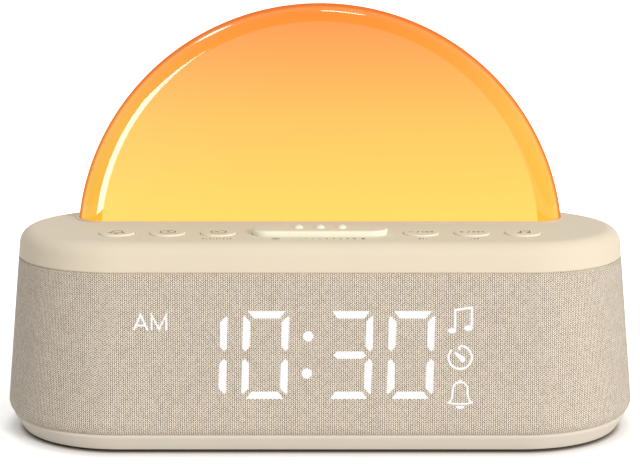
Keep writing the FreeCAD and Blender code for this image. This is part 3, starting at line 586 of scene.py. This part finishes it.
class CLOCK_OT_cloth_sleeve(bpy.types.Operator):
    """Weaves the cloth sleeve that is stretched round the case"""
    bl_idname = "clock.cloth_sleeve"
    bl_label = "Cloth sleeve"

    def execute(self, context):
        case = context.scene.clock_case
        cloth = context.scene.clock_cloth
        mesh, whole = cloth_mesh(case, cloth)
        mat = cloth_material(cloth, whole)
        obj = link("speaker_cloth", mesh, mat)
        tree = rib_relief_tree()
        weave = obj.modifiers.new("weave", "NODES")
        weave.node_group = tree
        sizes = {"Half rib": whole / cloth.ribs / 2, "Relief": cloth.relief, "Seed": cloth.seed,
                 "Material": mat}
        for name, value in sizes.items():
            weave[socket_key(tree, name)] = value
        bake(obj)
        low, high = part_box("port_panel")
        panel_corner = 2.0 * MM
        overlap = 0.3 * MM
        margin = panel_corner - overlap
        inside = 20 * MM
        behind = 60 * MM
        start = (low[0] + margin, inside, low[2] + margin)
        end = (high[0] - margin, behind, high[2] - margin)
        cut_opening(obj, start, end, panel_corner)
        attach(obj, "case")
        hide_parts("fabric_sleeve")
        return {"FINISHED"}


# Lamp

def lamp_depth():
    """The middle of the lamp along Y, and half its depth over its foot's flange."""
    low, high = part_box("dome_shade")
    flange = 2.2 * MM
    return (low[1] + high[1]) / 2, (high[1] - low[1]) / 2 - flange


def lamp_material(lamp):
    """Translucent polycarbonate, lit from inside: yellow at the foot, orange at the top, deeper in
    colour where the rim is seen edge on. The face is satin and even, the polished rim has sharp
    highlights."""
    strength = 0.74
    mat, tree, shader = new_material("lit polycarbonate with polished rim", ior=1.58, emission=strength)
    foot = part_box("top_cap")[1][2]
    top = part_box("dome_shade")[1][2]
    middle, half = lamp_depth()
    place = add_node(tree, "ShaderNodeTexCoord").outputs["Object"]
    split = add_node(tree, "ShaderNodeSeparateXYZ", {0: place}).outputs
    rise = add_node(tree, "ShaderNodeMapRange", {"Value": split["Z"], "From Min": foot, "From Max": top})
    face_glow = [(0.0, lamp.low), (0.45, lamp.middle), (1.0, lamp.high)]
    rim_glow = [(0.0, lamp.rim_low), (0.45, lamp.rim_middle), (1.0, lamp.rim_high)]
    face, rim = [add_node(tree, "ShaderNodeValToRGB", {"Fac": rise}, stops=stops)
                 for stops in (face_glow, rim_glow)]
    aside = add_node(tree, "ShaderNodeMath", {0: split["Y"], 1: middle}, operation="SUBTRACT")
    aside = add_node(tree, "ShaderNodeMath", {0: aside}, operation="ABSOLUTE")
    # Zero on the flat faces and one at mid depth, so the rim starts just behind the face.
    inward = add_node(tree, "ShaderNodeMapRange", {"Value": aside, "From Min": half, "From Max": 0.0})
    to_rim = add_node(tree, "ShaderNodeMapRange", {"Value": inward, "From Max": 0.004},
                      interpolation_type="SMOOTHSTEP")
    to_edge = add_node(tree, "ShaderNodeMapRange", {"Value": inward, "From Min": 0.45, "From Max": 0.9,
                                                    "To Max": 0.9})
    polish = {"Roughness": (0.4, 0.06), "Specular IOR Level": (0.03, 0.25)}
    for name, (on_face, on_rim) in polish.items():
        value = add_node(tree, "ShaderNodeMapRange", {"Value": to_rim, "To Min": on_face, "To Max": on_rim})
        set_inputs(tree, shader, {name: value})
    edge = opaque(lamp.edge)
    glow = add_node(tree, "ShaderNodeMix", {0: to_rim, 6: face, 7: rim}, data_type="RGBA").outputs[2]
    glow = add_node(tree, "ShaderNodeMix", {0: to_edge, 6: glow, 7: edge}, data_type="RGBA").outputs[2]
    grazing = add_node(tree, "ShaderNodeLayerWeight", {"Blend": 0.5}).outputs["Facing"]
    outline = add_node(tree, "ShaderNodeMapRange", {"Value": grazing, "From Min": 0.3, "From Max": 0.9,
                                                    "To Max": 0.8}, interpolation_type="SMOOTHSTEP")
    deep = add_node(tree, "ShaderNodeMix", {0: outline, 6: glow, 7: edge}, data_type="RGBA").outputs[2]
    thick = add_node(tree, "ShaderNodeBsdfPrincipled", {"Roughness": 0.5, "Specular IOR Level": 0.0,
                                                        "Emission Strength": strength})
    # Most of the colour is its own light, so the plastic under it is a darker tone of the same colour.
    dimmed = 0.72
    for light, skin in ((glow, shader), (deep, thick)):
        body = add_node(tree, "ShaderNodeMix", {0: dimmed, 6: light, 7: opaque(linear("#000000"))},
                        data_type="RGBA")
        set_inputs(tree, skin, {"Emission Color": light, "Base Color": body.outputs[2]})
    matt = add_node(tree, "ShaderNodeMapRange", {"Value": grazing, "From Min": 0.5, "From Max": 0.72},
                    interpolation_type="SMOOTHSTEP")
    both = add_node(tree, "ShaderNodeMixShader", {0: matt, 1: shader, 2: thick})
    output = next(node for node in tree.nodes if node.bl_idname == "ShaderNodeOutputMaterial")
    set_inputs(tree, output, {"Surface": both})
    return mat


def lamp_section(lamp, middle, half, turn, around, grow, foot):
    """A point of the lamp's skin: turn runs from the front face over the rim to the back,
    around runs over the top from one side of the foot to the other."""
    roll = max(0.0, math.cos(turn))
    least_growth = 0.35
    radius = lamp.face_radius + (lamp.rim_radius - lamp.face_radius) * roll + grow * max(roll, least_growth)
    centre = lamp.face_centre + (lamp.rim_centre - lamp.face_centre) * roll
    lowest = math.asin((foot - centre) / radius)
    angle = lowest + (TURN / 2 - 2 * lowest) * around
    y = middle + (half + grow) * math.sin(turn)
    return Vector((radius * math.cos(angle), y, centre + radius * math.sin(angle)))


def lamp_skin(bm, lamp, middle, half, grow, foot, flip):
    """One closed-over skin of the shade, open at its foot; returns its foot's loop of corners."""
    turns = 28
    spans = 160
    rows = []
    for i in range(turns + 1):
        turn = -TURN / 4 + TURN / 2 * i / turns
        rows.append([bm.verts.new(lamp_section(lamp, middle, half, turn, j / spans, grow, foot))
                     for j in range(spans + 1)])
    faces = []
    for a, b in zip(rows, rows[1:]):
        for j in range(spans):
            faces.append((a[j], a[j + 1], b[j + 1], b[j]))
    faces.append(tuple(rows[0]))
    faces.append(tuple(reversed(rows[-1])))
    for face in faces:
        bm.faces.new(tuple(reversed(face)) if flip else face)
    return [r[0] for r in rows] + [r[-1] for r in reversed(rows)]


class CLOCK_OT_lamp_shade(bpy.types.Operator):
    """Forms the half-round shade with its rolled rim and gives it its sunrise glow"""
    bl_idname = "clock.lamp_shade"
    bl_label = "Lamp shade"

    def execute(self, context):
        lamp = context.scene.clock_lamp
        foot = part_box("dome_gasket")[0][2]
        middle, half = lamp_depth()
        bm = bmesh.new()
        outer = lamp_skin(bm, lamp, middle, half, 0.0, foot, False)
        inner = lamp_skin(bm, lamp, middle, half, -lamp.wall, foot, True)
        for i in range(len(outer)):
            j = (i + 1) % len(outer)
            bm.faces.new((outer[i], inner[i], inner[j], outer[j]))
        obj = link("lamp_shade", finished_mesh(bm, "lamp_shade"), lamp_material(lamp))
        obj.visible_diffuse = False
        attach(obj, "case")
        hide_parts("dome_shade")
        return {"FINISHED"}


# Lit signs on the cloth

def lit_material(display):
    """Light from the display spread by the cloth: white, with a trace of the weave."""
    mat, tree, shader = new_material("display light through cloth", roughness=0.8, emission=1.0, specular=0.0)
    weave_mm = 0.625
    place = add_node(tree, "ShaderNodeTexCoord").outputs["Object"]
    weave = add_node(tree, "ShaderNodeTexNoise", {"Vector": place, "Scale": 1 / (weave_mm * MM),
                                                  "Detail": 1.0})
    full = tuple(display.glow)
    tint = add_node(tree, "ShaderNodeValToRGB", {"Fac": weave},
                    stops=[(0.3, scaled(full, 0.96)), (0.6, full)])
    set_inputs(tree, shader, {"Base Color": opaque(linear("#191919")), "Emission Color": tint})
    return mat


def digit_mesh(case, thickness):
    """The fronts of the display's light pipes, brought forward to the cloth's face."""
    lean = math.atan(case.draft)
    out = Vector((0, -math.cos(lean), math.sin(lean)))
    bm = bmesh.new()
    bm.from_mesh(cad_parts["display_light_pipes"].data)
    bmesh.ops.remove_doubles(bm, verts=bm.verts, dist=1e-6)
    nearest = max(v.co.dot(out) for v in bm.verts)
    away = [f for f in bm.faces
            if f.normal.dot(out) < 0.99 or f.calc_center_median().dot(out) < nearest - 1e-5]
    bmesh.ops.delete(bm, geom=away, context="FACES")
    bmesh.ops.dissolve_limit(bm, angle_limit=0.01, verts=bm.verts, edges=bm.edges)
    step = reach(case, 0.0) * math.cos(lean) - nearest
    for v in bm.verts:
        v.co += out * step
    grown = bmesh.ops.extrude_face_region(bm, geom=bm.faces[:])
    for v in [g for g in grown["geom"] if isinstance(g, bmesh.types.BMVert)]:
        v.co += out * thickness
    return finished_mesh(bm, "lit_time")


def letters_am(stroke):
    """A and M in plain thin capitals."""
    low = 38.4 + stroke / 2
    high = 43.6 - stroke / 2
    return [
        line_shape([(-55.9, low), (-53.85, high), (-51.8, low)], stroke),
        line_shape([(-55.1, 40.1), (-52.6, 40.1)], stroke),
        line_shape([(-50.5, low), (-50.5, high), (-48.35, low + 0.2), (-46.2, high), (-46.2, low)], stroke),
    ]


def note_shapes(stroke):
    """Two quavers joined by a beam."""
    wide = stroke * 1.15
    return [
        filled(arc_points(39.65, 38.55, 1.25, 0, 345, 23, 0.62)),
        filled(arc_points(44.5, 39.35, 1.35, 0, 345, 23, 0.6)),
        line_shape([(40.55, 38.55), (40.62, 44.8), (45.5, 45.5), (45.45, 39.3)], wide),
    ]


def timer_shapes(stroke):
    """A dial with a gap, a tick at its top and a pointer."""
    x, z = 42.12, 30.46
    wide = stroke * 1.1
    pointer = arc_points(42.9, 29.9, 0.85, -130, 50, 12) + arc_points(40.8, 31.7, 0.42, 55, 225, 8)
    return [
        line_shape(arc_points(x, z, 3.47, 137, 452, 48), wide),
        line_shape([(41.95, 33.9), (41.85, 32.7)], wide),
        filled(pointer),
    ]


def bell_shapes(stroke):
    """A bell with its crown, lip and clapper."""
    x = 42.2
    left = [(38.95, 16.85), (39.5, 17.6), (39.85, 19.0), (40.02, 20.6)]
    right = [(2 * x - a, b) for a, b in reversed(left)]
    body = left + arc_points(x, 20.85, 2.17, 172, 8, 14) + right
    clapper = arc_points(x, 15.75, 1.35, 180, 360, 14, 0.68)
    return [
        line_shape(body, stroke * 0.92),
        line_shape([(38.4, 16.8), (40.0, 16.45), (x, 16.38), (44.4, 16.45), (46.0, 16.8)], stroke * 0.92),
        line_shape([(x, 23.0), (x, 23.7)], stroke),
        filled(clapper),
    ]


class CLOCK_OT_lit_signs(bpy.types.Operator):
    """Lights the time, the AM mark and three small signs on the cloth"""
    bl_idname = "clock.lit_signs"
    bl_label = "Lit signs"

    def execute(self, context):
        case = context.scene.clock_case
        display = context.scene.clock_display
        mat = lit_material(display)
        place = on_front(case)
        stroke = display.stroke / MM
        pieces = [link("lit_time", digit_mesh(case, display.thickness), mat, smooth=False)]
        shapes = {"lit_am": letters_am(stroke), "lit_note": note_shapes(stroke),
                  "lit_timer": timer_shapes(stroke), "lit_bell": bell_shapes(stroke)}
        for name, parts in shapes.items():
            pieces.append(sign(name, parts, place, display.thickness, mat))
        for obj in pieces:
            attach(obj, "case")
        return {"FINISHED"}


# Printed signs on the keys

def ink_material(display):
    """Pad-printed ink: flat and matt, a little paler in random patches."""
    mat, tree, shader = new_material("pad printed ink", roughness=0.6)
    patch_mm = 0.4
    place = add_node(tree, "ShaderNodeTexCoord").outputs["Object"]
    patch = add_node(tree, "ShaderNodeTexNoise", {"Vector": place, "Scale": 1 / (patch_mm * MM)})
    full = tuple(display.ink)
    tint = add_node(tree, "ShaderNodeValToRGB", {"Fac": patch},
                    stops=[(0.3, full), (0.7, scaled(full, 1.35))])
    set_inputs(tree, shader, {"Base Color": tint})
    return mat


def small_bell(w):
    """A bell about 4 mm high round (0, 0)."""
    right = [(1.45, 0.2), (1.6, -0.9), (2.1, -1.5)]
    left = [(-x, y) for x, y in reversed(right)]
    body = left + arc_points(0, 0.4, 1.4, 172, 8, 12) + right
    clapper = arc_points(0, -1.9, 0.7, 180, 360, 8)
    return [line_shape(body, w), line_shape([(-2.4, -1.5), (2.4, -1.5)], w), filled(clapper)]


def small_clock(w):
    """A clock face with two hands."""
    hands = line_shape([(0, 1.4), (0, 0), (1.0, -0.6)], w)
    return [line_shape(arc_points(0, 0, 2.1, 0, 345, 23), w, True), hands]


def small_timer(w):
    """A dial with a gap and a pointer."""
    pointer = line_shape([(-1.1, 1.1), (0.3, -0.3)], w * 1.4)
    return [line_shape(arc_points(0, 0, 2.1, 130, 440, 26), w), pointer]


def bar_and_arrows(w, way):
    """Minus or plus beside two arrows and a bar."""
    shapes = [line_shape([(-3.6, 0), (-2.2, 0)], w)]
    if way > 0:
        shapes.append(line_shape([(-2.9, 0.2 + w / 2), (-2.9, 0.9)], w))
        shapes.append(line_shape([(-2.9, -0.2 - w / 2), (-2.9, -0.9)], w))
    shapes.append(line_shape([(-1.3, -1.0), (-0.7, 1.0)], w * 0.8))
    start = 0.1
    pitch = 1.3
    for i in range(2):
        x0 = start + i * pitch if way > 0 else start + 0.5 + (i + 1) * pitch
        shapes.append(filled([(x0, -0.8), (x0 + way * 1.2, 0), (x0, 0.8)]))
    bar = start + 2 * pitch + 0.3 if way > 0 else start + 0.2
    shapes.append(line_shape([(bar, -0.8), (bar, 0.8)], w))
    return shapes


def small_note(w):
    """Two joined quavers."""
    heads = [filled(arc_points(x, y, 0.6, 0, 345, 15, 0.7)) for x, y in ((-1.1, -1.3), (1.4, -0.9))]
    return heads + [line_shape([(-0.6, -1.3), (-0.6, 1.2), (1.9, 1.6), (1.9, -0.9)], w)]


def sun_sign(w):
    """A small sun: a ring and eight rays."""
    shapes = [line_shape(arc_points(0, 0, 0.7, 0, 330, 11), w, True)]
    rays = 8
    for i in range(rays):
        a = TURN * i / rays
        shapes.append(line_shape([(r * math.cos(a), r * math.sin(a)) for r in (1.05, 1.45)], w))
    return shapes


def moon_sign():
    """A small crescent moon."""
    return [filled(arc_points(0, 0, 1.0, 60, 300, 14) + arc_points(0.62, 0, 0.87, 262, 98, 10))]


def small_marks(name, w):
    """Small plain marks in front of a key: a scale of minutes or level bars."""
    if name == "timer":
        minutes = [(i * 1.05, 0.8 if i % 2 == 0 else 0.1) for i in range(-4, 5)]
        return [line_shape([(x, -0.8), (x, top)], w) for x, top in minutes]
    heights = (0.6, 1.1, 1.6) if name == "up" else (1.6, 1.1, 0.6)
    return [line_shape([(x, -0.8), (x, -0.8 + h)], w * 1.3) for x, h in zip((-1.0, 0.0, 1.0), heights)]


def moved(shapes, x, y, scale=1.0):
    """The shapes at another place and size."""
    return [([(a * scale + x, b * scale + y) for a, b in corners], faces) for corners, faces in shapes]


class CLOCK_OT_printed_signs(bpy.types.Operator):
    """Prints plain signs on the round keys and in front of them"""
    bl_idname = "clock.printed_signs"
    bl_label = "Printed signs"

    def execute(self, context):
        display = context.scene.clock_display
        mat = ink_material(display)
        w = display.ink_stroke / MM / display.sign_scale
        signs = {"alarm": small_bell(w), "clock": small_clock(w), "timer": small_timer(w),
                 "down": bar_and_arrows(w, -1), "up": bar_and_arrows(w, 1), "sound": small_note(w)}
        for name, shapes in signs.items():
            low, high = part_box(name + "_key")
            centre = ((low[0] + high[0]) / 2 / MM, (low[1] + high[1]) / 2 / MM)
            shapes = moved(shapes, *centre, display.sign_scale)
            obj = sign(name + "_sign", shapes, on_top(high[2]), display.ink_thickness, mat)
            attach(obj, name + "_button")
        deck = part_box("top_cap")[1][2]
        gap_mm = 2.2
        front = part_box("snooze_bar")[0][1] / MM - gap_mm
        side = 13.5
        w = 0.8 * display.ink_stroke / MM
        marks = moved(sun_sign(w), -side, front) + moved(moon_sign(), side, front)
        dots = [filled(arc_points(2.1 * i, 0, 0.3 + 0.04 * i, 0, 330, 11)) for i in range(-5, 6)]
        marks += moved(dots, 0, front)
        for name in ("timer", "down", "up"):
            low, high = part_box(name + "_key")
            centre = (low[0] + high[0]) / 2 / MM
            marks += moved(small_marks(name, w), centre, front)
        obj = sign("deck_signs", marks, on_top(deck), display.ink_thickness, mat)
        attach(obj, "case")
        return {"FINISHED"}


# Moulded and inner pieces

def set_finishes(finishes):
    """Gives the frame's pieces their finish; finishes holds the names of the pieces by material."""
    for mat, nodes in finishes.items():
        for node in nodes:
            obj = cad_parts[node]
            if not obj.material_slots:
                obj.data.materials.append(mat)
            for material_slot in obj.material_slots:
                material_slot.material = mat


class CLOCK_OT_case_finish(bpy.types.Operator):
    """Gives the cap, keys, base, feet and inlet their moulded finish"""
    bl_idname = "clock.case_finish"
    bl_label = "Case finish"

    def execute(self, context):
        case = context.scene.clock_case
        # Cap and inlet: warm cream and dull, with a grain that breaks up the light.
        shell = moulded("spark eroded moulded ABS", tuple(case.shell), 0.35, 0.7, specular=0.12)
        # Base: a paler cream, a little duller than the cap.
        lower = moulded("matt moulded ABS", tuple(case.base), 0.35, 0.75, specular=0.12)
        # Housing and lamp frame: plain tan plastic behind the cloth, smoother than the shell.
        inner = moulded("plain moulded ABS", tuple(case.inner), 0.8, 0.5)
        # Feet: near black, soft and without gloss.
        rubber = speckled("moulded rubber", "#2B2927", "#1A1918", 1.67, 0.85, 0.05)
        # Lamp seal: a thin pale pink line with a soft gloss. The pink is partly the seal's own tint and
        # partly painted glow, standing for the lamp's warm light at its foot.
        seal = moulded("moulded silicone with painted lamp glow", linear("#F3D3C2"), 0.5, 0.35)
        finishes = {
            shell: ("top_cap", "port_panel"),
            lower: ("base_cover",),
            # Keys: the shell colour on top, and a paler painted highlight on the steep sides.
            painted_highlight_keycap(tuple(case.shell), tuple(case.keys)): ("snooze_bar", "alarm_key", "clock_key", "timer_key",
                                                          "down_key", "up_key", "sound_key"),
            inner: ("housing", "lamp_frame"),
            rubber: ("rubber_feet",),
            seal: ("dome_gasket",),
        }
        set_finishes(finishes)
        return {"FINISHED"}


class CLOCK_OT_inner_finish(bpy.types.Operator):
    """Gives the boards, speakers, screws and other inner pieces their finish"""
    bl_idname = "clock.inner_finish"
    bl_label = "Inner finish"

    def execute(self, context):
        # Switches, baskets and holders: dense black with a dull sheen.
        black = moulded("black glass filled nylon", linear("#1B1B1C"), 0.4, 0.5)
        # Reflector and sockets: clean white that throws the light back.
        white = moulded("white moulded polycarbonate", linear("#EFEFEA"), 0.6, 0.4)
        # Screws: bright grey with short streaks along their length.
        zinc = drawn_metal("zinc plated steel", linear("#C2C3C1"), 0.3, (1.0, 1.0, 8.0))
        # Cell and inlet shell: the sharpest gloss in the clock, streaked across.
        stainless = drawn_metal("drawn stainless steel", linear("#CBCBCB"), 0.22, (1.0, 10.0, 1.0))
        # Capacitor cans: pale and silky, streaked upwards.
        aluminium = drawn_metal("drawn aluminium", linear("#D9DADC"), 0.28, (1.0, 1.0, 12.0))
        # Boards: green with paler tracks, or white with faint grey ones under the LEDs.
        green = circuit_laminate("glass epoxy laminate", "#12502C", "#1E7041")
        pale = circuit_laminate("white masked aluminium laminate", "#ECECE6", "#D8D8D0")
        # Cones: dark, dull and fibrous.
        paper = speckled("pressed paper pulp", "#2C2A28", "#191817", 1.11, 0.9, 0.08)
        # Magnets: dark grey with a fine crystal speckle.
        ferrite = speckled("ground ferrite", "#38383B", "#262628", 1.43, 0.6, 0.04)
        # LEDs glow warm, the light pipes plain white.
        led = lit_epoxy("phosphor epoxy", "#FFE08A")
        pipe = lit_epoxy("lit clear acrylic", "#FFFFFF")
        # Flat cables: off-white film with a soft gloss.
        film = moulded("laminated flat cable", linear("#E8E8E4"), 1.0, 0.35)
        finishes = {
            black: ("key_switches", "display_mask", "board_chips", "cell_holder", "usb_tongue",
                    "speaker_baskets", "alarm_plunger", "clock_plunger", "timer_plunger", "down_plunger",
                    "up_plunger", "sound_plunger", "snooze_plunger"),
            white: ("light_reflector", "ribbon_sockets"),
            zinc: ("case_screws", "key_board_screws", "lamp_frame_screws", "reflector_screws",
                   "display_screws", "main_board_screws", "speaker_screws"),
            stainless: ("coin_cell", "usb_socket"),
            aluminium: ("board_capacitors",),
            green: ("key_board", "display_board", "main_board"),
            pale: ("light_board",),
            paper: ("speaker_cones",),
            ferrite: ("speaker_magnets",),
            led: ("light_leds", "display_leds"),
            pipe: ("display_light_pipes",),
            film: ("key_ribbon", "light_ribbon"),
        }
        set_finishes(finishes)
        return {"FINISHED"}


# Stage

def area_light(name, place, target, size, power, tint="#FFFFFF", tall=None):
    """A rectangular lamp that looks at a target; its size is in metres and its power in watts."""
    data = bpy.data.lights.new(name, "AREA")
    data.shape = "RECTANGLE"
    data.size = size
    data.size_y = tall or size
    data.energy = power
    data.color = linear(tint)
    obj = bpy.data.objects.new(name, data)
    bpy.context.scene.collection.objects.link(obj)
    obj.location = place
    obj.rotation_euler = (Vector(target) - Vector(place)).to_track_quat("-Z", "Y").to_euler()
    return obj


class CLOCK_OT_stage(bpy.types.Operator):
    """Sets the camera, the white studio and its soft lamps"""
    bl_idname = "clock.stage"
    bl_label = "Stage"

    def execute(self, context):
        scene = context.scene
        stage = scene.clock_stage
        camera = bpy.data.objects.new("camera", bpy.data.cameras.new("camera"))
        scene.collection.objects.link(camera)
        camera.location = (0, -stage.camera_back, stage.camera_height)
        camera.rotation_euler = (TURN / 4 - stage.camera_pitch, 0, 0)
        camera.data.lens = stage.camera_lens
        camera.data.sensor_width = 36
        camera.data.clip_start = 0.01
        scene.camera = camera
        scene.view_settings.view_transform = "Standard"
        self.floor(scene)
        self.world(scene)
        key = area_light("key_lamp", (1.15, -1.45, 0.8), (0, 0, 0.05), 0.6, 22, "#FFF9F2")
        fill = area_light("fill_lamp", (-1.3, -1.5, 1.0), (0, 0, 0.05), 1.2, 1.5, "#F6F7FF")
        top = area_light("top_lamp", (0.1, 0.1, 1.5), (0, 0, 0.06), 1.0, 3.8, "#FFFDFA")
        for light in (key, fill, top):
            light.visible_glossy = False
        # These three only draw the thin highlights on the lamp's rim.
        rim = bpy.data.collections.new("lit_rim")
        rim.objects.link(bpy.data.objects["lamp_shade"])
        glosses = (area_light("left_gloss", (-0.202, -0.26, 0.115), (-0.07, 0.0, 0.1), 0.17, 3.0, tall=0.21),
                   area_light("back_gloss", (-0.53, 0.72, 0.905), (0, 0, 0.12), 0.16, 1.5),
                   area_light("top_gloss", (0.13, 0.4, 1.2), (0, 0, 0.12), 0.25, 1.8, tall=0.1))
        for light in glosses:
            light.visible_diffuse = False
            light.light_linking.receiver_collection = rim
        return {"FINISHED"}

    def seen(self, tree):
        """One for the rays that show the studio: straight, in a reflection or through a clear piece."""
        rays = add_node(tree, "ShaderNodeLightPath").outputs
        shown = rays["Is Camera Ray"]
        for kind in ("Is Glossy Ray", "Is Transmission Ray"):
            shown = add_node(tree, "ShaderNodeMath", {0: shown, 1: rays[kind]}, operation="MAXIMUM")
        return shown

    def floor(self, scene):
        """A matt white table that the camera sees as plain white except for soft shadows."""
        mesh = bpy.data.meshes.new("floor")
        half_side = 6.0
        corners = [(x * half_side, y * half_side, 0) for x, y in ((-1, -1), (1, -1), (1, 1), (-1, 1))]
        mesh.from_pydata(corners, [], [(0, 1, 2, 3)])
        # Smooth paper: even and white, with a painted contact shadow where the clock stands on it.
        mat, tree, shader = new_material("white studio paper with painted contact shadow", roughness=0.9, specular=0.2)
        case = scene.clock_case
        place = add_node(tree, "ShaderNodeTexCoord").outputs["Object"]
        split = add_node(tree, "ShaderNodeSeparateXYZ", {0: place}).outputs
        aside = add_node(tree, "ShaderNodeMath", {0: split["X"]}, operation="ABSOLUTE")
        aside = add_node(tree, "ShaderNodeMath", {0: aside, 1: case.spine}, operation="SUBTRACT")
        aside = add_node(tree, "ShaderNodeMath", {0: aside, 1: 0.0}, operation="MAXIMUM")
        plan = add_node(tree, "ShaderNodeCombineXYZ", {0: aside, 1: split["Y"]})
        away = add_node(tree, "ShaderNodeVectorMath", {0: plan}, operation="LENGTH").outputs["Value"]
        # The paper's own light lifts it to plain white, partly at the clock's foot and fully far away.
        near = add_node(tree, "ShaderNodeMapRange", {"Value": away, "From Min": case.half_depth - 5 * MM,
                                                     "From Max": case.half_depth + 3 * MM, "To Max": 0.5})
        far = add_node(tree, "ShaderNodeMapRange", {"Value": away, "From Min": case.half_depth,
                                                    "From Max": 350 * MM, "To Max": 0.8})
        lift = add_node(tree, "ShaderNodeMath", {0: near, 1: far}, operation="ADD")
        lift = add_node(tree, "ShaderNodeMath", {0: self.seen(tree), 1: lift}, operation="MULTIPLY")
        # Painted contact shadow: the paper is dark under the clock and turns white just outside its foot.
        span = 100 * MM
        painted_shadow_end = 33.6 * MM
        white_start = 36 * MM
        shade = linear("#8E867C")
        white = linear("#F0F0F0")
        across = add_node(tree, "ShaderNodeMapRange", {"Value": away, "From Min": 0.0, "From Max": span})
        paper = add_node(tree, "ShaderNodeValToRGB", {"Fac": across},
                         stops=[(0.0, shade), (painted_shadow_end / span, shade), (white_start / span, white)])
        set_inputs(tree, shader, {"Base Color": paper, "Emission Color": opaque(linear("#FFFFFF")),
                                  "Emission Strength": lift})
        link("floor", mesh, mat, smooth=False)

    def world(self, scene):
        """White to the eye, and a dimmer, warmer light on the clock."""
        world = bpy.data.worlds.new("studio")
        scene.world = world
        world.use_nodes = True
        tree = world.node_tree
        tree.nodes.clear()
        seen = self.seen(tree)
        strength = add_node(tree, "ShaderNodeMapRange", {"Value": seen, "To Min": 0.41, "To Max": 1.0})
        tint = add_node(tree, "ShaderNodeMix", {0: seen, 6: opaque(linear("#FFFCF6")),
                                                7: opaque(linear("#FFFFFF"))}, data_type="RGBA")
        light = add_node(tree, "ShaderNodeBackground", {"Color": tint.outputs[2], "Strength": strength})
        add_node(tree, "ShaderNodeOutputWorld", {"Surface": light})


OPERATORS = (CLOCK_OT_cloth_sleeve, CLOCK_OT_lamp_shade, CLOCK_OT_lit_signs, CLOCK_OT_printed_signs,
             CLOCK_OT_case_finish, CLOCK_OT_inner_finish, CLOCK_OT_stage)
SETTINGS = {"clock_case": CaseSettings, "clock_cloth": ClothSettings, "clock_lamp": LampSettings,
            "clock_display": DisplaySettings, "clock_stage": StageSettings}


class CLOCK_PT_panel(bpy.types.Panel):
    """The steps and settings of the clock, in the sidebar"""
    bl_idname = "CLOCK_PT_panel"
    bl_label = "Sunrise alarm clock"
    bl_space_type = "VIEW_3D"
    bl_region_type = "UI"
    bl_category = "Clock"

    def draw(self, context):
        for operator in OPERATORS:
            self.layout.operator(operator.bl_idname)
        for name, group in SETTINGS.items():
            box = self.layout.box()
            for key in group.__annotations__:
                box.prop(getattr(context.scene, name), key)


def register():
    for name, group in SETTINGS.items():
        bpy.utils.register_class(group)
        setattr(bpy.types.Scene, name, PointerProperty(type=group))
    for cls in OPERATORS + (CLOCK_PT_panel,):
        bpy.utils.register_class(cls)


def unregister():
    for cls in (CLOCK_PT_panel,) + OPERATORS[::-1]:
        bpy.utils.unregister_class(cls)
    for name, group in SETTINGS.items():
        delattr(bpy.types.Scene, name)
        bpy.utils.unregister_class(group)


def main():
    register()
    bpy.ops.clock.cloth_sleeve()
    bpy.ops.clock.lamp_shade()
    bpy.ops.clock.lit_signs()
    bpy.ops.clock.printed_signs()
    bpy.ops.clock.case_finish()
    bpy.ops.clock.inner_finish()
    bpy.ops.clock.stage()


if __name__ == "__main__":
    main()
